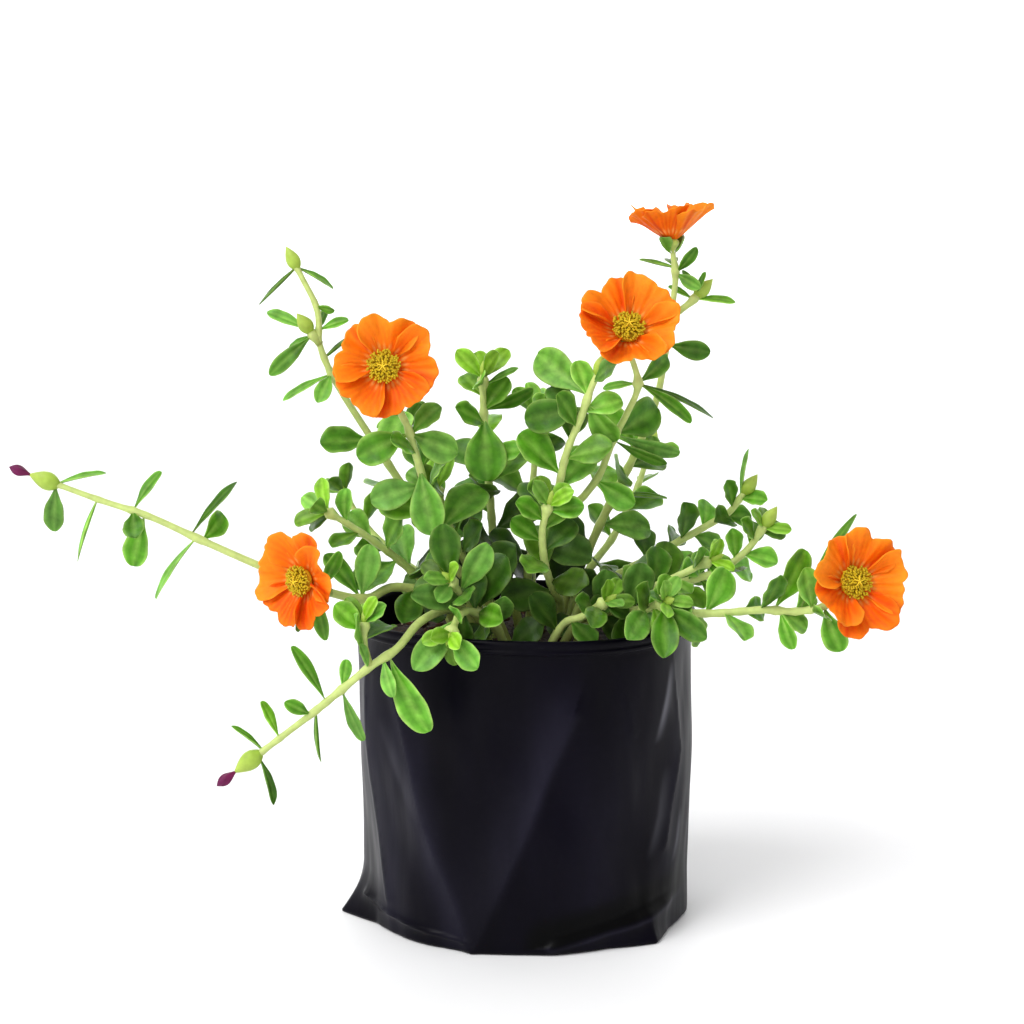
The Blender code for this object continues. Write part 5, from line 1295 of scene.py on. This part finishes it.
# The tuck at the lower right, where the film above the line folds inwards with painted shade and the lip
# below it carries a painted sheen
TUCK = [(0.0080, 0.0035), (0.0239, 0.0068), (0.0409, 0.0094), (0.0540, 0.0110), (0.0640, 0.0116)]
TUCK_DEPTH = 0.0003
TUCK_LIP = 0.0020
TUCK_WIDTH = 0.0036
TUCK_SHADE = 0.0088
TUCK_EDGE = 0.0006
TUCK_END = 0.0560
TUCK_FADE = 0.0015
LIP_SHEEN = 0.35

# The film's thickness at its rim, and its cuff as (above the cuff's start, out) at the weld line and as
# (below the rim, out) at the top, then how deep its inner face goes, how far below the cuff the wall is
# calm, its wrinkles and stretch marks, and how much the rim rises and falls
FILM = 0.0008
CUFF_START = BAG_HEIGHT - HEM_DEPTH
CUFF_LOW = [(-0.0002, 0.0001), (0.0, 0.0009), (0.0004, 0.0013), (0.0012, 0.0012), (0.0017, 0.0008),
            (0.0021, 0.0011)]
CUFF_TOP = [(0.0008, 0.0013), (0.0002, 0.0009), (0.0, 0.0002), (0.0002, -0.0005)]
INSIDE_DEPTH = 0.014
CUFF_CALM = 0.02
WRINKLE = 0.0007
STRETCH_MARK = 0.00025
RIM_SWAY = 0.0005

# The rough soil and the loose bits on it: name, how many, size, tone, seed of the draw and stretch
SOIL_CRUMB = 0.0009
SOIL_GAP = 0.0006
FOOT_GAP = 0.0014
BITS = [("bark_bits", 260, 0.0011, BARK, 3, 2.6), ("pale_grit", 46, 0.0009, GRIT, 4, 1.4)]


def near_line(s, h, points):
    """How far a place on the flattened wall is from a crease, as (distance, side)."""
    best = (1.0, 0.0)
    for (s1, h1), (s2, h2) in zip(points, points[1:]):
        ds, dh = s2 - s1, h2 - h1
        length = math.hypot(ds, dh)
        t = max(0.0, min(1.0, ((s - s1) * ds + (h - h1) * dh) / length ** 2))
        gap = math.hypot(s - s1 - t * ds, h - h1 - t * dh)
        turn = ((s - s1) * dh - (h - h1) * ds) / length
        if gap < best[0]:
            best = (gap, math.copysign(1.0, turn))
    return best


def along_wall(angle):
    """The way along the wall from the middle of its front to an angle."""
    return math.remainder(angle + math.pi / 2, math.tau) * BAG_RADIUS


def film_radius(angle, height):
    """The wall with its creases and small stretch wrinkles."""
    s = along_wall(angle)
    radius = wall_radius(angle, height)
    fade = math.sin(math.pi * min(1.0, max(0.0, (CUFF_START - height) / CUFF_CALM)) / 2)
    for points, proud, wide in CREASES:
        gap, turn = near_line(s, height, points)
        if gap < 4 * wide:
            ridge = 0.55 * bump(gap, wide) + 0.45 * bump(gap, wide * 0.35)
            radius += proud * fade * ridge * (1 if turn > 0 else 0.75)
    gap, turn = near_line(s, height, TUCK)
    if gap < 4 * TUCK_WIDTH:
        over = gap * turn / TUCK_WIDTH
        ends = 1 / (1 + math.exp((s - TUCK_END) / TUCK_FADE))
        radius += ends * TUCK_LIP / (1 + math.exp(-6 * (over + 0.15))) * math.exp(-max(0.0, over) ** 1.6)
        radius -= ends * TUCK_DEPTH * math.exp(-over * over)
    wrinkle = noise.noise(Vector((math.cos(angle) * 3.2, math.sin(angle) * 3.2, height * 22)))
    small = noise.noise(Vector((math.cos(angle) * 9, math.sin(angle) * 9, height * 60 + 5)))
    return radius + fade * (WRINKLE * wrinkle + STRETCH_MARK * small)


def film_tone(angle, height):
    """Black film, with painted sheens on its lit facets, painted highlights on its sharp bends, and painted
    shade in the tuck at the lower right.
    """
    s = along_wall(angle)
    tall = math.sin(math.pi * min(1.0, max(0.0, height / CUFF_START))) ** 0.6
    glow = 0.0
    for middle, wide, strength, slant in SHEENS:
        glow += strength * tall * bump(s - middle - slant * (height - 0.05), wide)
    for points, _, wide in CREASES[:FACETS]:
        gap, turn = near_line(s, height, points)
        glow += FACET_SHEEN * tall * bump(gap, wide * (0.3 if turn > 0 else 1.6))
    gap, turn = near_line(s, height, TUCK)
    # painted shade in the fold above the tuck's line and in a thin line just below it, and a painted sheen on
    # the lip
    tuck_shade = math.exp(-(gap / TUCK_SHADE) ** 6) if turn < 0 else bump(gap, TUCK_EDGE)
    glow += LIP_SHEEN * bump(gap - 3 * TUCK_EDGE, TUCK_EDGE) if turn > 0 else 0.0
    tone = mixed(mixed(FILM_BLACK, FILM_SHEEN, glow), TUCK_PAINTED_SHADE, tuck_shade)
    # painted highlights along the film's sharp bends
    for points, bright, wide in HIGHLIGHT_STREAKS:
        gap, turn = near_line(s, height, points)
        along = (height - points[-1][1]) / (points[0][1] - points[-1][1])
        bright *= max(0.0, math.sin(math.pi * min(1.0, max(0.0, along))))
        tone = mixed(tone, FILM_PAINTED_HIGHLIGHT, bright * bump(gap, wide * (1.0 if turn > 0 else 2.2)))
    return tone


def film_ring(height, out, inner=False):
    """A level ring of the film with its tones, a little out of or within the wall."""
    sway_from = BAG_HEIGHT - HEM_DEPTH * 1.5
    points, tints = [], []
    for angle in around(FILM_AROUND):
        radius = film_radius(angle, height) + out + (0.0 if inner else ear(angle, height))
        sway = RIM_SWAY * math.sin(3 * angle + 1) if height > sway_from else 0.0
        points.append(Vector((radius * math.cos(angle), radius * math.sin(angle), height + sway)))
        tints.append(film_tone(angle, height))
    return points, tints


def bag_piece():
    """The film: wall, folded cuff with its weld line, inner face, and flat foot with its seam flaps."""
    rings = [film_ring(0.0, -0.0016), film_ring(0.0003, -0.0006)]
    for step in range(FILM_UP):
        share = step / (FILM_UP - 1)
        rings.append(film_ring(0.0010 + (CUFF_START - 0.0014) * share ** 1.1, 0.0))
    rings += [film_ring(CUFF_START + above, out) for above, out in CUFF_LOW]
    rings += [film_ring(BAG_HEIGHT - below, out) for below, out in CUFF_TOP]
    for step in range(FILM_INSIDE):
        depth = 0.0006 + INSIDE_DEPTH * step / (FILM_INSIDE - 1)
        rings.append(film_ring(BAG_HEIGHT - depth, -FILM, inner=True))
    skin = Skin()
    skin.loft(rings, 0)
    in_place_of(skin.piece("bag_look", [film_material()]), "bag")


def soil_piece():
    """The potting mix's rough top over a plain body."""
    angles = around(SOIL_AROUND)
    tints = [SOIL_PLAIN] * SOIL_AROUND
    rings = []
    for height in (0.0012, SOIL_LEVEL - 0.004):
        reaches = [wall_radius(angle, height) - FILM - FOOT_GAP for angle in angles]
        rings.append(([Vector((r * math.cos(a), r * math.sin(a), height)) for r, a in zip(reaches, angles)],
                      tints))
    for step in range(SOIL_RINGS):
        share = 1 - step / SOIL_RINGS
        points = []
        for angle in angles:
            reach = (wall_radius(angle, SOIL_LEVEL) - FILM - SOIL_GAP) * share
            x, y = reach * math.cos(angle), reach * math.sin(angle)
            rough = noise.fractal(Vector((x * 300, y * 300, 1)), 0.8, 2.1, 4)
            points.append(Vector((x, y, soil_height(x, y) + SOIL_CRUMB * rough)))
        rings.append((points, tints))
    skin = Skin()
    skin.loft(rings, 0)
    in_place_of(skin.piece("soil_look", [soil_material()]), "soil")


def bit_piece(name, count, size, tone, seed, stretch):
    """Loose bits that lie on the soil: bark, fibre or pale grit."""
    chance = random.Random(seed)
    skin = Skin()
    for _ in range(count):
        reach = (SOIL_RADIUS - 0.004) * math.sqrt(chance.random())
        angle = chance.uniform(0, math.tau)
        x, y = reach * math.cos(angle), reach * math.sin(angle)
        way = Vector((math.cos(angle * 7), math.sin(angle * 7), chance.uniform(-0.25, 0.25))).normalized()
        length = size * chance.uniform(0.6, 1.5)
        colour = mixed(tone, BIT_DARK, chance.uniform(0, 0.5))
        bit = dict(root=Vector((x, y, soil_height(x, y) + 0.0007)), along=way, length=length * stretch,
                   radius=length * 0.5, belly=chance.uniform(0.8, 1.2))
        add_drop(skin, bit, (colour, colour), 0, ridges=3, sides=6, steps=4)
    piece = skin.piece(name, [tinted(name + "_look", 0.9, 0.0, 0.3, 900, 0.8, 1800, specular=0.2)])
    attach(piece, "root")


# Floor, light and camera

CAMERA_AT = (-0.0046, -0.8395, 0.2661)
CAMERA_TO = (-0.0046, 0.0, 0.1331)
LENS = 91.4
FLOOR_HALF = 6
BACKDROP_AT = 4.0
FAR_WALL = 5.0
FAR_WALL_HEIGHT = 2.4
FLOOR_GREYS = ((0.90, 0.90, 0.915, 1), (0.93, 0.93, 0.94, 1))
BACKDROP_GREY = (0.9, 0.9, 0.9, 1)
BACKDROP_GLOW = 0.8
WORLD_LIGHT = 0.55
SUN_POWER = 2.3
SUN_SPREAD = math.radians(40)
SUN_FROM = (-0.75, -0.62, 1.0)
FILL_AT = (-0.5, -1.6, 0.7)
FILL_TO = (0, 0, 0.12)
FILL_SIZE = 1.2
FILL_POWER = 7


def aim(thing, at, to):
    """Puts a lamp or the camera at a place, pointing at another."""
    thing.location = at
    thing.rotation_euler = (Vector(to) - Vector(at)).to_track_quat("-Z", "Y").to_euler()


def stage_piece(name, cage, look):
    """A piece of the stage, which is no part of the object, from a cage of its faces."""
    mesh = bpy.data.meshes.new(name)
    cage.to_mesh(mesh)
    cage.free()
    mesh.materials.append(look)
    thing = add_object(name, mesh)
    return thing


def build_floor():
    """A pale floor with faint clouds in its grey."""
    look, nodes, links, shader = shader_of("floor_white", Roughness=0.6)
    grain = noise_node(nodes, links, 3, 2)
    shade = add_node(nodes, "ValToRGB")
    for element, grey in zip(shade.color_ramp.elements, FLOOR_GREYS):
        element.color = grey
    links.new(grain.outputs["Fac"], shade.inputs["Fac"])
    links.new(shade.outputs["Color"], shader.inputs["Base Color"])
    sheet = bmesh.new()
    bmesh.ops.create_grid(sheet, x_segments=1, y_segments=1, size=FLOOR_HALF)
    stage_piece("floor", sheet, look)


def build_backdrops():
    """A glowing wall behind the plant, and a far wall all round that only the camera sees."""
    white = shader_of("backdrop_white", Base_Color=BACKDROP_GREY, Emission_Color=(1.0, 1.0, 1.0, 1),
                      Emission_Strength=BACKDROP_GLOW)[0]
    sheet = bmesh.new()
    bmesh.ops.create_grid(sheet, x_segments=1, y_segments=1, size=FLOOR_HALF)
    bmesh.ops.rotate(sheet, verts=sheet.verts, matrix=Matrix.Rotation(math.radians(90), 3, "X"))
    bmesh.ops.translate(sheet, verts=sheet.verts, vec=(0, BACKDROP_AT, 0))
    stage_piece("backdrop", sheet, white)
    round_wall = bmesh.new()
    bmesh.ops.create_cone(round_wall, segments=96, radius1=FAR_WALL, radius2=FAR_WALL, depth=FAR_WALL_HEIGHT)
    far = stage_piece("far_wall", round_wall, white)
    far.location = (0, 0, FAR_WALL_HEIGHT / 2 - 0.01)
    far.visible_diffuse = False
    far.visible_glossy = False
    far.visible_transmission = False
    far.visible_shadow = False


def build_lights():
    """An even white sky, a broad soft sun from the upper left, and a weak fill from the front."""
    world = bpy.data.worlds.new("studio")
    world.use_nodes = True
    set_inputs(world.node_tree.nodes["Background"], dict(Color=(1.0, 1.0, 1.0, 1), Strength=WORLD_LIGHT))
    bpy.context.scene.world = world
    sun = bpy.data.lights.new("key", "SUN")
    sun.energy = SUN_POWER
    sun.angle = SUN_SPREAD
    add_object("key", sun).rotation_euler = Vector(SUN_FROM).to_track_quat("Z", "Y").to_euler()
    fill = bpy.data.lights.new("fill", "AREA")
    fill.size = FILL_SIZE
    fill.energy = FILL_POWER
    aim(add_object("fill", fill), FILL_AT, FILL_TO)


def build_camera():
    lens = bpy.data.cameras.new("camera")
    lens.lens = LENS
    lens.sensor_width = 36
    camera = add_object("camera", lens)
    aim(camera, CAMERA_AT, CAMERA_TO)
    bpy.context.scene.camera = camera
    bpy.context.scene.view_settings.view_transform = "Standard"


def dress():
    """Every piece of the object, in the order in which their random draws follow each other."""
    lay_out()
    chance = random.Random(DRESS_SEED)
    for stem in STEMS:
        if "foot" in stem:
            stem_piece([stem] + [other for other in STEMS if other.get("on") == stem["name"]], chance)
        if stem["end"] == "spent":
            spent_piece(stem)
    for name in FLOWERS:
        petal_piece(name, chance)
        stamen_piece(name, chance)
    bag_piece()
    soil_piece()
    for row in BITS:
        bit_piece(*row)


build_camera()
build_floor()
build_backdrops()
build_lights()
dress()
